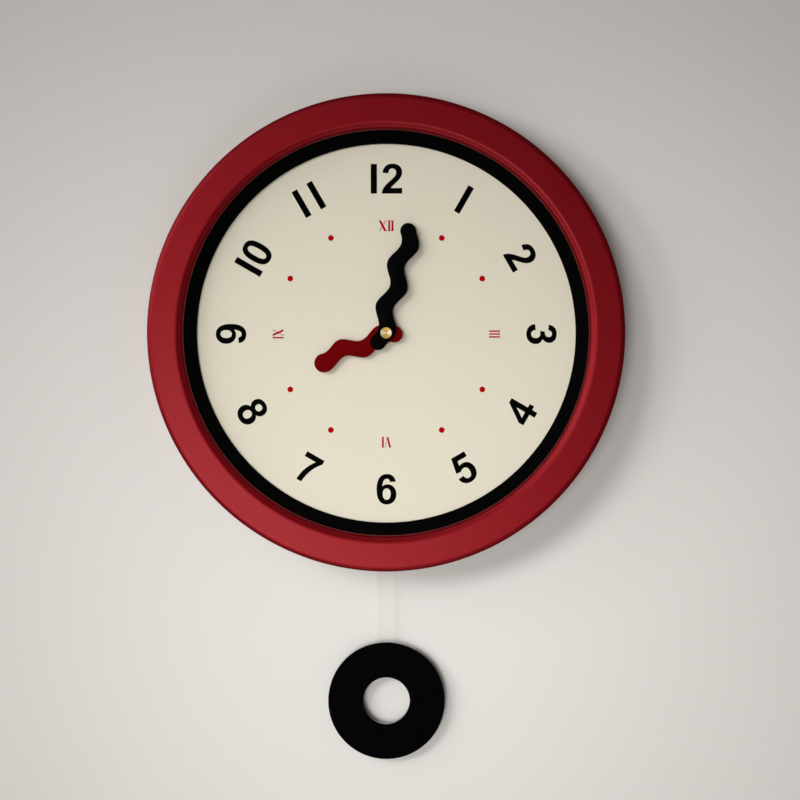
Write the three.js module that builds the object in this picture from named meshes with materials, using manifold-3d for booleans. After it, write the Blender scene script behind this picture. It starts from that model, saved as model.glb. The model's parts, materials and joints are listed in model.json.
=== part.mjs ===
// Pendulum wall clock with a quartz movement, in millimetres.
// +Z is up, the dial faces -Y and the wall is the plane y = 0.
// The origin is the point where the wall screw meets the wall.
// Inside the clock group the arbor, which carries the hands, lies on x = z = 0 and runs along Y,
// and depths are y values: the more negative, the nearer to the viewer.

import * as THREE from 'three';
import { mergeVertices } from 'three/addons/utils/BufferGeometryUtils.js';
import Module from 'manifold-3d';

const wasm = await Module();
wasm.setup();

// ---- driving dimensions ----

const GAP = 0.3;                  // play between pieces that touch
const HANGER_RISE = 98;           // hanging point above the arbor

const RIM = {
  radius: 150,
  depth: 46,
  wall: 3,
  lip: 127.5,                     // radius of the window
  seat: 134.6,                    // bore that takes the lens, the spacer and the dial
  seatWall: 2.2,
  seatRear: 26,
};
// The front face rolls down to its rim over a soft and a tight arc, and to the window over
// a shoulder, a cove and a bead. Each turns from one tilt to another, in degrees off the face.
const RIM_OUTER_ROLLS = [
  { radius: 8, from: 0, to: 22 },
  { radius: 0.55, from: 22, to: 90 },
];
const RIM_INNER_ROLLS = [
  { radius: 7.9, from: 0, to: 22 },
  { radius: 1.4, from: 22, to: 5 },
  { radius: 2.4, from: 5, to: 90 },
];
const LENS = { radius: 134, front: -40, thickness: 2 };
const DIAL = { radius: 134, front: -28, thickness: 1.5, visible: 120.2 };
const SPACER = { slopeIn: 2.5, slopeHeight: 3.5, footHeight: 1.2 };   // its slope from lens to dial
const BACK = { radius: 146.7, rear: -9.8, thickness: 2.2, ribOuter: 134, ribInner: 131.6, windowGap: 1 };
const SCREW = {
  count: 6,
  circle: 143.5,                  // radius of the circle the case screws stand on
  boss: 4,
  pilot: 1.5,
  pilotDepth: 12,
  shank: 1.2,
  head: 2.7,
  headHeight: 1.5,
  length: 12,
};

const HANGER = {
  half: 23,
  top: 8,                         // above and below the hanging point
  bottom: -19,
  corner: 4,
  rear: -2,
  thickness: 1.2,
  slot: 2.4,
  eye: 4.8,
  drop: 9,                        // from the slot's top to the eye
};
const HANGER_SCREW = { x: 17, drop: 3, boss: 4.4, head: 3, headHeight: 1.3, length: 7 };

const MOVEMENT = {
  half: 28,
  top: 28,
  bottom: -60,
  front: -25.1,
  rear: -9,
  split: -17,                     // where the front and rear halves meet
  wall: 1.5,
  corner: 4,
  innerCorner: 2.5,
};
const BATTERY = {
  z: 18,
  y: -16.3,
  radius: 7,
  negative: -24.8,                // x of each end
  positive: 23.9,
  nub: 1.2,
  nubRadius: 2.6,
  bevel: 0.6,
};
const BAY = { half: 25.6, margin: 0.6, shelf: 1.2 };
const CONTACT = { thickness: 0.5, halfDepth: 4, halfHeight: 5 };
const SPRING = { rear: -26.2, front: -25.1, sheet: 0.4, halfDepth: 3, halfHeight: 5, foot: 1 };
const MOTOR_COIL = { radius: 3.2, halfLength: 7, x: 16, y: -18, z: -15 };
const STATOR = { x0: 4, x1: 25, z0: -27, z1: -19.4, corner: 1, rear: -17, thickness: 1.5 };
const BOARD = { x0: 4, x1: 25, rear: -21.2, thickness: 1, z0: -42, z1: -29.5 };
const CRYSTAL = { radius: 1.2, halfLength: 3.2, x: 14, z: -34 };
const PENDULUM_COIL = { radius: 6, bore: 3, rear: -12, front: -20 };

const BUSHING = { radius: 4, bore: 3, tip: -31.8, chamfer: 0.4, flange: 6.2, flangeThickness: 0.8 };
const GASKET_RADIUS = 9;
const WASHER = { radius: 6.2, thickness: 0.7 };
const NUT = { radius: 5.9, thickness: 2 };
const HOUR_TUBE = { radius: 2.7, bore: 1.9, tip: -33.4 };
const MINUTE_SHAFT = { radius: 1.6, rear: -12.6, tip: -36.1 };
const CAP = { radius: 3.65, rear: -35.3, front: -36.9, bevel: 0.4 };

// The motion work: a 12-tooth cannon pinion turns a 36-tooth wheel, whose 10-tooth pinion turns
// the 40-tooth hour wheel, so the hour hand makes one turn in twelve.
const TEETH = { cannon: 12, motionWheel: 36, motionPinion: 10, hour: 40, knob: 12, drive: 40 };
const CENTRE_DISTANCE = 12;
const MINUTE_MODULE = (2 * CENTRE_DISTANCE) / (TEETH.cannon + TEETH.motionWheel);
const HOUR_MODULE = (2 * CENTRE_DISTANCE) / (TEETH.motionPinion + TEETH.hour);
const DRIVE_MODULE = 0.4;
const TOOTH = { root: 1.15, tip: 0.8, rootShare: 0.24, tipShare: 0.09 };
const MOTION_AXIS = { x: -10.4, z: -6 };
const KNOB_AXIS = { x: MOTION_AXIS.x, z: MOTION_AXIS.z - CENTRE_DISTANCE };
const MINUTE_LAYER = { rear: -18.4, thickness: 1.5 };
const HOUR_LAYER = { rear: -20.7, thickness: 1.2 };
const DRIVE_LAYER = { rear: -14.2, thickness: 1.2 };
const MOTION_PINION_LAYER = { rear: -19.8, thickness: 2.1 };
const MOTION_POST = { radius: 0.8, bore: 1.1, overhang: 0.6 };
const KNOB = { radius: 8, valley: 7.4, flutes: 20, rise: 2.8, thickness: 2.5, shaft: 1.2, hole: 1.6 };

// Each hand is a wavy bar between two round ends. Distances run along it and across it, from the arbor.
const HAND_THICKNESS = 0.8;
const MINUTE_HAND = {
  rear: -34.2,
  angle: 15.14,                   // clockwise from twelve
  wave: 27.7,                     // wavelength
  swing: 2.74,                    // amplitude
  shift: 1.84,                    // where along the hand a crest lies
  offset: -2.64,                  // the wave's middle line lies this far across
  half: 5.69,                     // half the width, measured across
  tail: { along: -7.03, across: -3.47, radius: 5.04 },
  tip: { along: 65.85, across: -3.48, radius: 5 },
  bore: 1.9,
};
const HOUR_HAND = {
  rear: -32.4,
  angle: 249.98,
  wave: 26.17,
  swing: 2.55,
  shift: 3.46,
  offset: -1.95,
  half: 5.58,
  tail: { along: -4.58, across: -2.49, radius: 5.21 },
  tip: { along: 43.72, across: -4.31, radius: 5.96 },
  bore: 3,
};
const HAND_END_STEPS = 10;
const HAND_STEP = 2.2;
const HAND_BLEND = 8;             // each edge eases into its round ends over this length

const PIVOT_PIN = { z: -40, radius: 1, bore: 1.3, head: 1.9, headHeight: 0.8, front: -14 };
const PENDULUM_ARM = { front: -8.7, thickness: 3.4, half: 3.5, bottom: -71, corner: 3.4 };
const MAGNET = { z: -52, pad: 6.5, pocket: 4.3, pocketDepth: 2, radius: 4, thickness: 1.5, inset: 0.2 };
const PEG = { z: -66, head: 2.9, headHeight: 0.9 };
const ROD = {
  front: -5,
  thickness: 2.5,
  half: 6,
  top: -60.5,
  bottom: -215.5,
  corner: 2,
  slot: 2.2,
  eye: 3.5,
  drop: 6.5,
};
const BOB = { z: -236, radius: 37.5, hole: 15, rear: -6.4, thickness: 4.5, edge: 0.5 };
const BOB_PAD = { half: 5, margin: 1 };
const NOTCH = { half: 25, depth: 7.5, height: 8 };   // rear cut in the rim that the rod swings through

const FINE = 48;                  // sides of the large rounds
const MEDIUM = 24;
const SMALL = 12;
const CORNER_STEPS = 4;           // along each rounded corner of a plate
const ROLL_STEPS = 3;             // along each arc of the rim's edges
const CUT = 1;                    // how far a cutting tool passes the face it cuts

// ---- materials ----

function material(color, roughness, metalness = 0) {
  return new THREE.MeshStandardMaterial({ color, roughness, metalness });
}

function clear(color, opacity) {
  return new THREE.MeshStandardMaterial({ color, roughness: 0.05, transparent: true, opacity });
}

const redPlastic = material(0x9c1c26, 0.45);
const blackPlastic = material(0x0b0b0c, 0.5);
const movementPlastic = material(0x1c1d20, 0.6);
const dialCard = material(0xe6dfca, 0.7);
const clearLens = clear(0xffffff, 0.15);
const clearAcrylic = clear(0xf4f4f2, 0.3);
const brass = material(0xc7a04c, 0.25, 1);
const steel = material(0xb4b6b8, 0.35, 1);
const rubber = material(0x161616, 0.9);
const darkRedPaint = material(0x8a0610, 0.5);
const blackPaint = material(0x060606, 0.5);
const whiteNylon = material(0xe4e4de, 0.6);
const copper = material(0xb5652f, 0.4, 1);
const boardGreen = material(0x1f6b3a, 0.5);
const batteryJacket = material(0x2c2f36, 0.35, 0.4);
const magnetGrey = material(0x3a3a3d, 0.5, 0.6);

// ---- solids ----

/** Turns a closed geometry into a manifold solid whose faces point out. */
function toSolid(geometry) {
  const bare = geometry.index ? geometry.toNonIndexed() : geometry.clone();
  bare.deleteAttribute('normal');
  bare.deleteAttribute('uv');
  const merged = mergeVertices(bare, 1e-4);
  const positions = merged.attributes.position.array;
  const triangles = [];
  for (let i = 0; i < merged.index.count; i += 3) {
    const [a, b, c] = [0, 1, 2].map((k) => merged.index.getX(i + k));
    if (a !== b && b !== c && c !== a) {
      triangles.push(a, b, c);
    }
  }
  if (signedVolume(positions, triangles) < 0) {
    triangles.reverse();
  }
  return new wasm.Manifold(new wasm.Mesh({
    numProp: 3,
    vertProperties: new Float32Array(positions),
    triVerts: new Uint32Array(triangles),
  }));
}

function signedVolume(positions, triangles) {
  const [a, b, c] = [new THREE.Vector3(), new THREE.Vector3(), new THREE.Vector3()];
  let volume = 0;
  for (let i = 0; i < triangles.length; i += 3) {
    a.fromArray(positions, 3 * triangles[i]);
    b.fromArray(positions, 3 * triangles[i + 1]);
    c.fromArray(positions, 3 * triangles[i + 2]);
    volume += a.dot(b.cross(c)) / 6;
  }
  return volume;
}

function toGeometry(solid) {
  const mesh = solid.getMesh();
  const geometry = new THREE.BufferGeometry();
  geometry.setAttribute('position', new THREE.BufferAttribute(mesh.vertProperties, 3));
  geometry.setIndex(new THREE.BufferAttribute(mesh.triVerts, 1));
  return geometry;
}

/** Joins solids into one. */
function join(...solids) {
  return solids.reduce((whole, solid) => whole.add(solid));
}

/** Cuts every tool out of a solid. */
function cut(solid, ...tools) {
  return tools.reduce((rest, tool) => rest.subtract(tool), solid);
}

/** A body of revolution about the arbor's direction, from a closed outline of [radius, y] points. */
function turned(outline, sides) {
  const points = [...outline, outline[0]].map(([radius, y]) => new THREE.Vector2(radius, y));
  return toSolid(new THREE.LatheGeometry(points, sides));
}

/** A cylinder from the rear depth to the front depth, hollow where a bore is given. */
function round(radius, rear, front, sides, bore = 0) {
  return turned([[bore, rear], [radius, rear], [radius, front], [bore, front]], sides);
}

/** A plate cut to a shape drawn in X and Z, whose rear face lies at the rear depth. */
function plate(shape, rear, thickness, curveSegments = 2 * CORNER_STEPS) {
  const settings = { depth: thickness, bevelEnabled: false, curveSegments };
  const geometry = new THREE.ExtrudeGeometry(shape, settings);
  geometry.rotateX(Math.PI / 2);
  geometry.translate(0, rear, 0);
  return toSolid(geometry);
}

function box(x0, x1, y0, y1, z0, z1) {
  const geometry = new THREE.BoxGeometry(x1 - x0, y1 - y0, z1 - z0);
  geometry.translate((x0 + x1) / 2, (y0 + y1) / 2, (z0 + z1) / 2);
  return toSolid(geometry);
}

function moved(solid, x, z) {
  return solid.translate([x, 0, z]);
}

/** A solid turned about the arbor's direction to lie along X instead. */
function alongX(solid) {
  return solid.rotate([0, 0, -90]);
}

function radians(degrees) {
  return (degrees * Math.PI) / 180;
}

function polar(radius, angle) {
  return [radius * Math.cos(angle), radius * Math.sin(angle)];
}

/** The angle of one of a number of evenly spaced places. */
function placeAngle(index, count) {
  return (index * 2 * Math.PI) / count;
}

// ---- outlines ----

function roundedRectangle(x0, x1, z0, z1, corner) {
  const shape = new THREE.Shape();
  shape.moveTo(x0 + corner, z0);
  shape.absarc(x1 - corner, z0 + corner, corner, -Math.PI / 2, 0, false);
  shape.absarc(x1 - corner, z1 - corner, corner, 0, Math.PI / 2, false);
  shape.absarc(x0 + corner, z1 - corner, corner, Math.PI / 2, Math.PI, false);
  shape.absarc(x0 + corner, z0 + corner, corner, Math.PI, 1.5 * Math.PI, false);
  return shape;
}

/** A slot whose rounded top takes a shank, with a wider eye below it for a head to pass. */
function keyhole(z, slot, eye, drop) {
  const shape = new THREE.Shape();
  const reach = Math.sqrt(eye * eye - slot * slot);
  const opening = Math.atan2(reach, slot);
  shape.moveTo(slot, z);
  shape.absarc(0, z, slot, 0, Math.PI, false);
  shape.lineTo(-slot, z - drop + reach);
  shape.absarc(0, z - drop, eye, Math.PI - opening, 2 * Math.PI + opening, false);
  return shape;
}

/** A toothed wheel's outline: slim straight-sided teeth that run free of the wheel they mesh with. */
function gearOutline(teeth, module, phase) {
  const pitchRadius = (teeth * module) / 2;
  const root = pitchRadius - TOOTH.root * module;
  const tip = pitchRadius + TOOTH.tip * module;
  const corners = [
    [root, -TOOTH.rootShare],
    [tip, -TOOTH.tipShare],
    [tip, TOOTH.tipShare],
    [root, TOOTH.rootShare],
  ];
  const step = (2 * Math.PI) / teeth;
  const points = [];
  for (let tooth = 0; tooth < teeth; tooth += 1) {
    for (const [radius, share] of corners) {
      points.push(new THREE.Vector2(...polar(radius, phase + (tooth + share) * step)));
    }
  }
  return new THREE.Shape(points);
}

function gear(teeth, module, phase, layer) {
  return plate(gearOutline(teeth, module, phase), layer.rear, layer.thickness);
}

/** One edge of a hand, from its tail to its tip: the wave moved half a width across, eased into both ends. */
function handEdge(hand, side, tail, tip) {
  const plain = (along) => {
    const phase = (2 * Math.PI * (along - hand.shift)) / hand.wave;
    return hand.offset + hand.swing * Math.cos(phase) + side * hand.half;
  };
  const steps = Math.round((tip.x - tail.x) / HAND_STEP);
  const points = [];
  for (let i = 0; i <= steps; i += 1) {
    const along = tail.x + ((tip.x - tail.x) * i) / steps;
    const nearTail = Math.max(0, 1 - (along - tail.x) / HAND_BLEND) ** 2;
    const nearTip = Math.max(0, 1 - (tip.x - along) / HAND_BLEND) ** 2;
    const easing = nearTail * (tail.y - plain(tail.x)) + nearTip * (tip.y - plain(tip.x));
    points.push(new THREE.Vector2(along, plain(along) + easing));
  }
  return points;
}

/** The points of a hand's round end, from one edge round to the other. */
function handEnd(hand, end, start) {
  const phase = (2 * Math.PI * (end.along - hand.shift)) / hand.wave;
  const lean = Math.atan((-2 * Math.PI * hand.swing * Math.sin(phase)) / hand.wave);
  const points = [];
  for (let i = 0; i <= HAND_END_STEPS; i += 1) {
    const angle = lean + start - (i / HAND_END_STEPS) * Math.PI;
    const [along, across] = polar(end.radius, angle);
    points.push(new THREE.Vector2(end.along + along, end.across + across));
  }
  return points;
}

/** A hand's outline, with points given as [across, along]. */
function handOutline(hand) {
  const tip = handEnd(hand, hand.tip, Math.PI / 2);
  const tail = handEnd(hand, hand.tail, -Math.PI / 2);
  const right = handEdge(hand, 1, tail.at(-1), tip[0]);
  const left = handEdge(hand, -1, tail[0], tip.at(-1)).reverse();
  const points = [...right, ...tip.slice(1, -1), ...left, ...tail.slice(1, -1)];
  return new THREE.Shape(points.map((point) => new THREE.Vector2(point.y, point.x)));
}

// ---- the clock and its nodes ----

const clock = new THREE.Group();
clock.position.z = -HANGER_RISE;

function add(name, solid, look, parent = clock) {
  const mesh = new THREE.Mesh(toGeometry(solid), look.clone());
  mesh.name = name;
  parent.add(mesh);
  return mesh;
}

// The section of a face that rolls back at its edge: way is 1 for an outer edge and -1 for an inner one.
function rolledEdge(edgeX, faceY, way, rolls) {
  let x = edgeX;
  let y = faceY;
  for (const { radius, from, to } of rolls) {
    x -= way * radius * Math.abs(Math.sin(radians(to)) - Math.sin(radians(from)));
  }
  const points = [[x, y]];
  for (const { radius, from, to } of rolls) {
    const bend = radius * Math.sign(to - from);
    for (let i = 1; i <= ROLL_STEPS; i += 1) {
      const tilt = radians(from + (i / ROLL_STEPS) * (to - from));
      const across = bend * (Math.sin(tilt) - Math.sin(radians(from)));
      const down = bend * (Math.cos(radians(from)) - Math.cos(tilt));
      points.push([x + way * across, y + down]);
    }
    [x, y] = points[points.length - 1];
  }
  return points;
}

// The shell is hollow behind its broad front face. Six bosses inside it take the case screws,
// and its inner wall is the seat of the lens, the spacer ring and the dial.
function frontRim() {
  const front = -RIM.depth;
  const outer = RIM.radius;
  const lens = LENS.front - GAP;
  const shell = turned([
    [outer, 0],
    ...rolledEdge(outer, front, 1, RIM_OUTER_ROLLS).reverse(),
    ...rolledEdge(RIM.lip, front, -1, RIM_INNER_ROLLS),
    [RIM.lip, lens],
    [RIM.seat, lens],
    [RIM.seat, -RIM.seatRear],
    [RIM.seat + RIM.seatWall, -RIM.seatRear],
    [RIM.seat + RIM.seatWall, front + RIM.wall],
    [outer - RIM.wall, front + RIM.wall],
    [outer - RIM.wall, 0],
  ], FINE);
  const bosses = [];
  const pilots = [];
  const seat = BACK.rear - BACK.thickness - GAP;
  for (let i = 0; i < SCREW.count; i += 1) {
    const [x, z] = polar(SCREW.circle, placeAngle(i, SCREW.count));
    bosses.push(moved(round(SCREW.boss, seat, front + RIM.wall / 2, SMALL), x, z));
    pilots.push(moved(round(SCREW.pilot, seat + CUT, seat - SCREW.pilotDepth, SMALL), x, z));
  }
  const notch = box(-NOTCH.half, NOTCH.half, -NOTCH.depth, CUT, -outer - CUT, -outer + NOTCH.height);
  return cut(join(shell, ...bosses), ...pilots, notch);
}
add('front_rim', frontRim(), redPlastic);

add('lens', round(LENS.radius, LENS.front + LENS.thickness, LENS.front, FINE), clearLens);

// The ring steps down from the lens to the dial and hides the edge of both.
const spacerFront = LENS.front + LENS.thickness + GAP;
const spacerRear = DIAL.front - GAP;
add('spacer_ring', turned([
  [LENS.radius, spacerRear],
  [LENS.radius, spacerFront],
  [RIM.lip, spacerFront],
  [DIAL.visible + SPACER.slopeIn, spacerRear - SPACER.slopeHeight],
  [DIAL.visible, spacerRear - SPACER.footHeight],
  [DIAL.visible, spacerRear],
], FINE), blackPlastic);

const boreRadius = BUSHING.radius + GAP;
add('dial', round(DIAL.radius, DIAL.front + DIAL.thickness, DIAL.front, FINE, boreRadius), dialCard);

// The back is a disc with a forward rib that holds the dial, a window for the movement,
// and two rear bosses that carry the hanger.
function backPlate() {
  const front = BACK.rear - BACK.thickness;
  const ribFront = DIAL.front + DIAL.thickness + GAP;
  const disc = turned([
    [0, BACK.rear],
    [BACK.radius, BACK.rear],
    [BACK.radius, front],
    [BACK.ribOuter, front],
    [BACK.ribOuter, ribFront],
    [BACK.ribInner, ribFront],
    [BACK.ribInner, front],
    [0, front],
  ], FINE);
  const half = MOVEMENT.half + BACK.windowGap;
  const bottom = MOVEMENT.bottom - BACK.windowGap;
  const top = MOVEMENT.top + BACK.windowGap;
  const windowShape = roundedRectangle(-half, half, bottom, top, MOVEMENT.corner + BACK.windowGap);
  const tools = [plate(windowShape, BACK.rear + CUT, BACK.thickness + 2 * CUT)];
  for (let i = 0; i < SCREW.count; i += 1) {
    const [x, z] = polar(SCREW.circle, placeAngle(i, SCREW.count));
    tools.push(moved(round(SCREW.pilot, BACK.rear + CUT, front - CUT, SMALL), x, z));
  }
  const bosses = [];
  for (const side of [-1, 1]) {
    const place = [side * HANGER_SCREW.x, HANGER_RISE - HANGER_SCREW.drop];
    const bossTop = HANGER.rear - HANGER.thickness - GAP;
    bosses.push(moved(round(HANGER_SCREW.boss, bossTop, front + 0.5, SMALL), ...place));
    tools.push(moved(round(SCREW.pilot, bossTop + CUT, BACK.rear + 0.4, SMALL), ...place));
  }
  return cut(join(disc, ...bosses), ...tools);
}
add('back_plate', backPlate(), blackPlastic);

/** A pan-head screw whose head sits behind the face at the seat depth. */
function panScrew(seat, size) {
  return turned([
    [0, seat + size.headHeight],
    [0.6 * size.head, seat + size.headHeight],
    [size.head, seat + 0.4 * size.headHeight],
    [size.head, seat],
    [SCREW.shank, seat],
    [SCREW.shank, seat - size.length + 1],
    [0, seat - size.length],
  ], SMALL);
}
for (let i = 0; i < SCREW.count; i += 1) {
  const screw = add(`case_screw_${i + 1}`, panScrew(BACK.rear + GAP, SCREW), steel);
  const [x, z] = polar(SCREW.circle, placeAngle(i, SCREW.count));
  screw.position.set(x, 0, z);
}

function hangerPlate() {
  const bottom = HANGER_RISE + HANGER.bottom;
  const top = HANGER_RISE + HANGER.top;
  const shape = roundedRectangle(-HANGER.half, HANGER.half, bottom, top, HANGER.corner);
  shape.holes.push(keyhole(HANGER_RISE, HANGER.slot, HANGER.eye, HANGER.drop));
  const hole = round(SCREW.pilot, HANGER.rear + CUT, HANGER.rear - HANGER.thickness - CUT, SMALL);
  const z = HANGER_RISE - HANGER_SCREW.drop;
  const holes = [-1, 1].map((side) => moved(hole, side * HANGER_SCREW.x, z));
  return cut(plate(shape, HANGER.rear, HANGER.thickness), ...holes);
}
add('hanger_plate', hangerPlate(), steel);

[-1, 1].forEach((side, index) => {
  const screw = add(`hanger_screw_${index + 1}`, panScrew(HANGER.rear + GAP, HANGER_SCREW), steel);
  screw.position.set(side * HANGER_SCREW.x, 0, HANGER_RISE - HANGER_SCREW.drop);
});

// ---- the movement ----

const caseShape = roundedRectangle(
  -MOVEMENT.half, MOVEMENT.half, MOVEMENT.bottom, MOVEMENT.top, MOVEMENT.corner,
);
const cavity = {
  half: MOVEMENT.half - MOVEMENT.wall,
  bottom: MOVEMENT.bottom + MOVEMENT.wall,
  top: MOVEMENT.top - MOVEMENT.wall,
  front: MOVEMENT.front + MOVEMENT.wall,
  rear: MOVEMENT.rear - MOVEMENT.wall,
};
const cavityShape = roundedRectangle(
  -cavity.half, cavity.half, cavity.bottom, cavity.top, MOVEMENT.innerCorner,
);

function movementFrontCase() {
  const rear = MOVEMENT.split;
  const outer = plate(caseShape, rear, rear - MOVEMENT.front, CORNER_STEPS);
  const inner = plate(cavityShape, rear + CUT, rear + CUT - cavity.front, CORNER_STEPS);
  const arborHole = round(boreRadius, cavity.front + CUT, MOVEMENT.front - CUT, MEDIUM);
  return cut(outer, inner, arborHole);
}
add('movement_front_case', movementFrontCase(), movementPlastic);

// The rear half has a bay for the battery above a shelf, and holes for the knob and the pivot pin.
function movementRearCase() {
  const front = MOVEMENT.split + GAP;
  const outer = plate(caseShape, MOVEMENT.rear, MOVEMENT.rear - front, CORNER_STEPS);
  const inner = plate(cavityShape, cavity.rear, cavity.rear - front + CUT, CORNER_STEPS);
  const bayBottom = BATTERY.z - BATTERY.radius - BAY.margin;
  const bayTop = BATTERY.z + BATTERY.radius + BAY.margin;
  const shelfHalf = cavity.half + MOVEMENT.wall / 3;
  const shelf = box(-shelfHalf, shelfHalf, front, MOVEMENT.rear - 0.5, bayBottom - BAY.shelf, bayBottom);
  const bay = box(-BAY.half, BAY.half, cavity.rear - CUT, MOVEMENT.rear + CUT, bayBottom, bayTop);
  const rear = MOVEMENT.rear + CUT;
  const knobHole = moved(round(KNOB.hole, rear, cavity.rear - CUT, SMALL), KNOB_AXIS.x, KNOB_AXIS.z);
  const pinHole = moved(round(PIVOT_PIN.bore, rear, cavity.rear - CUT, SMALL), 0, PIVOT_PIN.z);
  return cut(join(cut(outer, inner), shelf), bay, knobHole, pinHole);
}
add('movement_rear_case', movementRearCase(), movementPlastic);

// Turned on the arbor's direction first, so that its lengths along Y become lengths along X.
const battery = alongX(turned([
  [0, BATTERY.negative],
  [BATTERY.radius - 1, BATTERY.negative],
  [BATTERY.radius, BATTERY.negative + BATTERY.bevel],
  [BATTERY.radius, BATTERY.positive - BATTERY.bevel],
  [BATTERY.radius - 1, BATTERY.positive],
  [BATTERY.nubRadius, BATTERY.positive],
  [BATTERY.nubRadius, BATTERY.positive + BATTERY.nub],
  [0, BATTERY.positive + BATTERY.nub],
], MEDIUM));
add('battery', battery, batteryJacket).position.set(0, BATTERY.y, BATTERY.z);

const contactX = BATTERY.positive + BATTERY.nub + GAP;
add('battery_contact_positive', box(
  contactX,
  contactX + CONTACT.thickness,
  BATTERY.y - CONTACT.halfDepth,
  BATTERY.y + CONTACT.halfDepth,
  BATTERY.z - CONTACT.halfHeight,
  BATTERY.z + CONTACT.halfHeight,
), steel);

// A leaf bowed towards the battery, between two flat feet.
const springFeet = SPRING.rear + SPRING.sheet;
const springShape = new THREE.Shape([
  [SPRING.rear, SPRING.halfHeight],
  [springFeet, SPRING.halfHeight],
  [springFeet, SPRING.halfHeight - SPRING.foot],
  [SPRING.front, SPRING.sheet],
  [SPRING.front, -SPRING.sheet],
  [springFeet, SPRING.foot - SPRING.halfHeight],
  [springFeet, -SPRING.halfHeight],
  [SPRING.rear, -SPRING.halfHeight],
].map(([x, z]) => new THREE.Vector2(x, z + BATTERY.z)));
const springPlate = plate(springShape, BATTERY.y + SPRING.halfDepth, 2 * SPRING.halfDepth);
add('battery_contact_negative', springPlate, steel);

const flangeFront = cavity.front + GAP;
add('center_bushing', turned([
  [BUSHING.bore, flangeFront + BUSHING.flangeThickness],
  [BUSHING.flange, flangeFront + BUSHING.flangeThickness],
  [BUSHING.flange, flangeFront],
  [BUSHING.radius, flangeFront],
  [BUSHING.radius, BUSHING.tip + BUSHING.chamfer],
  [BUSHING.radius - BUSHING.chamfer, BUSHING.tip],
  [BUSHING.bore, BUSHING.tip],
], MEDIUM), brass);
const gasketRear = MOVEMENT.front - GAP;
const gasketFront = DIAL.front + DIAL.thickness + GAP;
add('dial_gasket', round(GASKET_RADIUS, gasketRear, gasketFront, MEDIUM, boreRadius), rubber);
const washerRear = DIAL.front - GAP;
const washerFront = washerRear - WASHER.thickness;
add('dial_washer', round(WASHER.radius, washerRear, washerFront, MEDIUM, boreRadius), brass);
const nutRear = washerFront - GAP;
const nutFront = nutRear - NUT.thickness;
const nutBore = round(boreRadius, nutRear + CUT, nutFront - CUT, MEDIUM);
add('hex_nut', cut(round(NUT.radius, nutRear, nutFront, 6), nutBore), brass);

const postRear = MINUTE_LAYER.rear + MOTION_POST.overhang;
const motionPost = round(MOTION_POST.radius, postRear, cavity.front + GAP, SMALL);
add('motion_post', moved(motionPost, MOTION_AXIS.x, MOTION_AXIS.z), steel);

const motorCoil = alongX(round(MOTOR_COIL.radius, -MOTOR_COIL.halfLength, MOTOR_COIL.halfLength, MEDIUM));
add('motor_coil', motorCoil.translate([MOTOR_COIL.x, MOTOR_COIL.y, MOTOR_COIL.z]), copper);
const statorShape = roundedRectangle(STATOR.x0, STATOR.x1, STATOR.z0, STATOR.z1, STATOR.corner);
add('motor_stator', plate(statorShape, STATOR.rear, STATOR.thickness), steel);
const boardFront = BOARD.rear - BOARD.thickness;
add('circuit_board', box(BOARD.x0, BOARD.x1, boardFront, BOARD.rear, BOARD.z0, BOARD.z1), boardGreen);
const crystal = alongX(round(CRYSTAL.radius, -CRYSTAL.halfLength, CRYSTAL.halfLength, SMALL));
const crystalY = BOARD.rear + GAP + CRYSTAL.radius;
add('quartz_crystal', crystal.translate([CRYSTAL.x, crystalY, CRYSTAL.z]), steel);
const pendulumCoil = round(
  PENDULUM_COIL.radius, PENDULUM_COIL.rear, PENDULUM_COIL.front, MEDIUM, PENDULUM_COIL.bore,
);
add('pendulum_coil', moved(pendulumCoil, 0, MAGNET.z), copper);

// ---- the hands and their wheels ----

const towardsMotion = Math.atan2(MOTION_AXIS.z, MOTION_AXIS.x);
const towardsArbor = towardsMotion + Math.PI;
const halfTooth = (teeth) => Math.PI / teeth;

// Each driven wheel shows a gap on the line of centres where its driver shows a tooth.
const cannonPinion = gear(TEETH.cannon, MINUTE_MODULE, towardsMotion, MINUTE_LAYER);
const minuteShaft = round(MINUTE_SHAFT.radius, MINUTE_SHAFT.rear, MINUTE_SHAFT.tip, MEDIUM);
const driveWheel = gear(TEETH.drive, DRIVE_MODULE, 0, DRIVE_LAYER);
add('minute_wheel', join(cannonPinion, minuteShaft, driveWheel), brass);

const hourGear = gear(TEETH.hour, HOUR_MODULE, towardsMotion, HOUR_LAYER);
const hourTube = round(HOUR_TUBE.radius, HOUR_LAYER.rear, HOUR_TUBE.tip, MEDIUM);
const hourBore = round(HOUR_TUBE.bore, HOUR_LAYER.rear + CUT, HOUR_TUBE.tip - CUT, MEDIUM);
add('hour_wheel', cut(join(hourGear, hourTube), hourBore), whiteNylon);

function motionWheel() {
  const wheelPhase = towardsArbor + halfTooth(TEETH.motionWheel);
  const pinionPhase = towardsArbor + halfTooth(TEETH.motionPinion);
  const wheel = gear(TEETH.motionWheel, MINUTE_MODULE, wheelPhase, MINUTE_LAYER);
  const pinion = gear(TEETH.motionPinion, HOUR_MODULE, pinionPhase, MOTION_PINION_LAYER);
  const front = MOTION_PINION_LAYER.rear - MOTION_PINION_LAYER.thickness - CUT;
  const bore = round(MOTION_POST.bore, MINUTE_LAYER.rear + CUT, front, SMALL);
  return moved(cut(join(wheel, pinion), bore), MOTION_AXIS.x, MOTION_AXIS.z);
}
add('motion_wheel', motionWheel(), whiteNylon);

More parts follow.
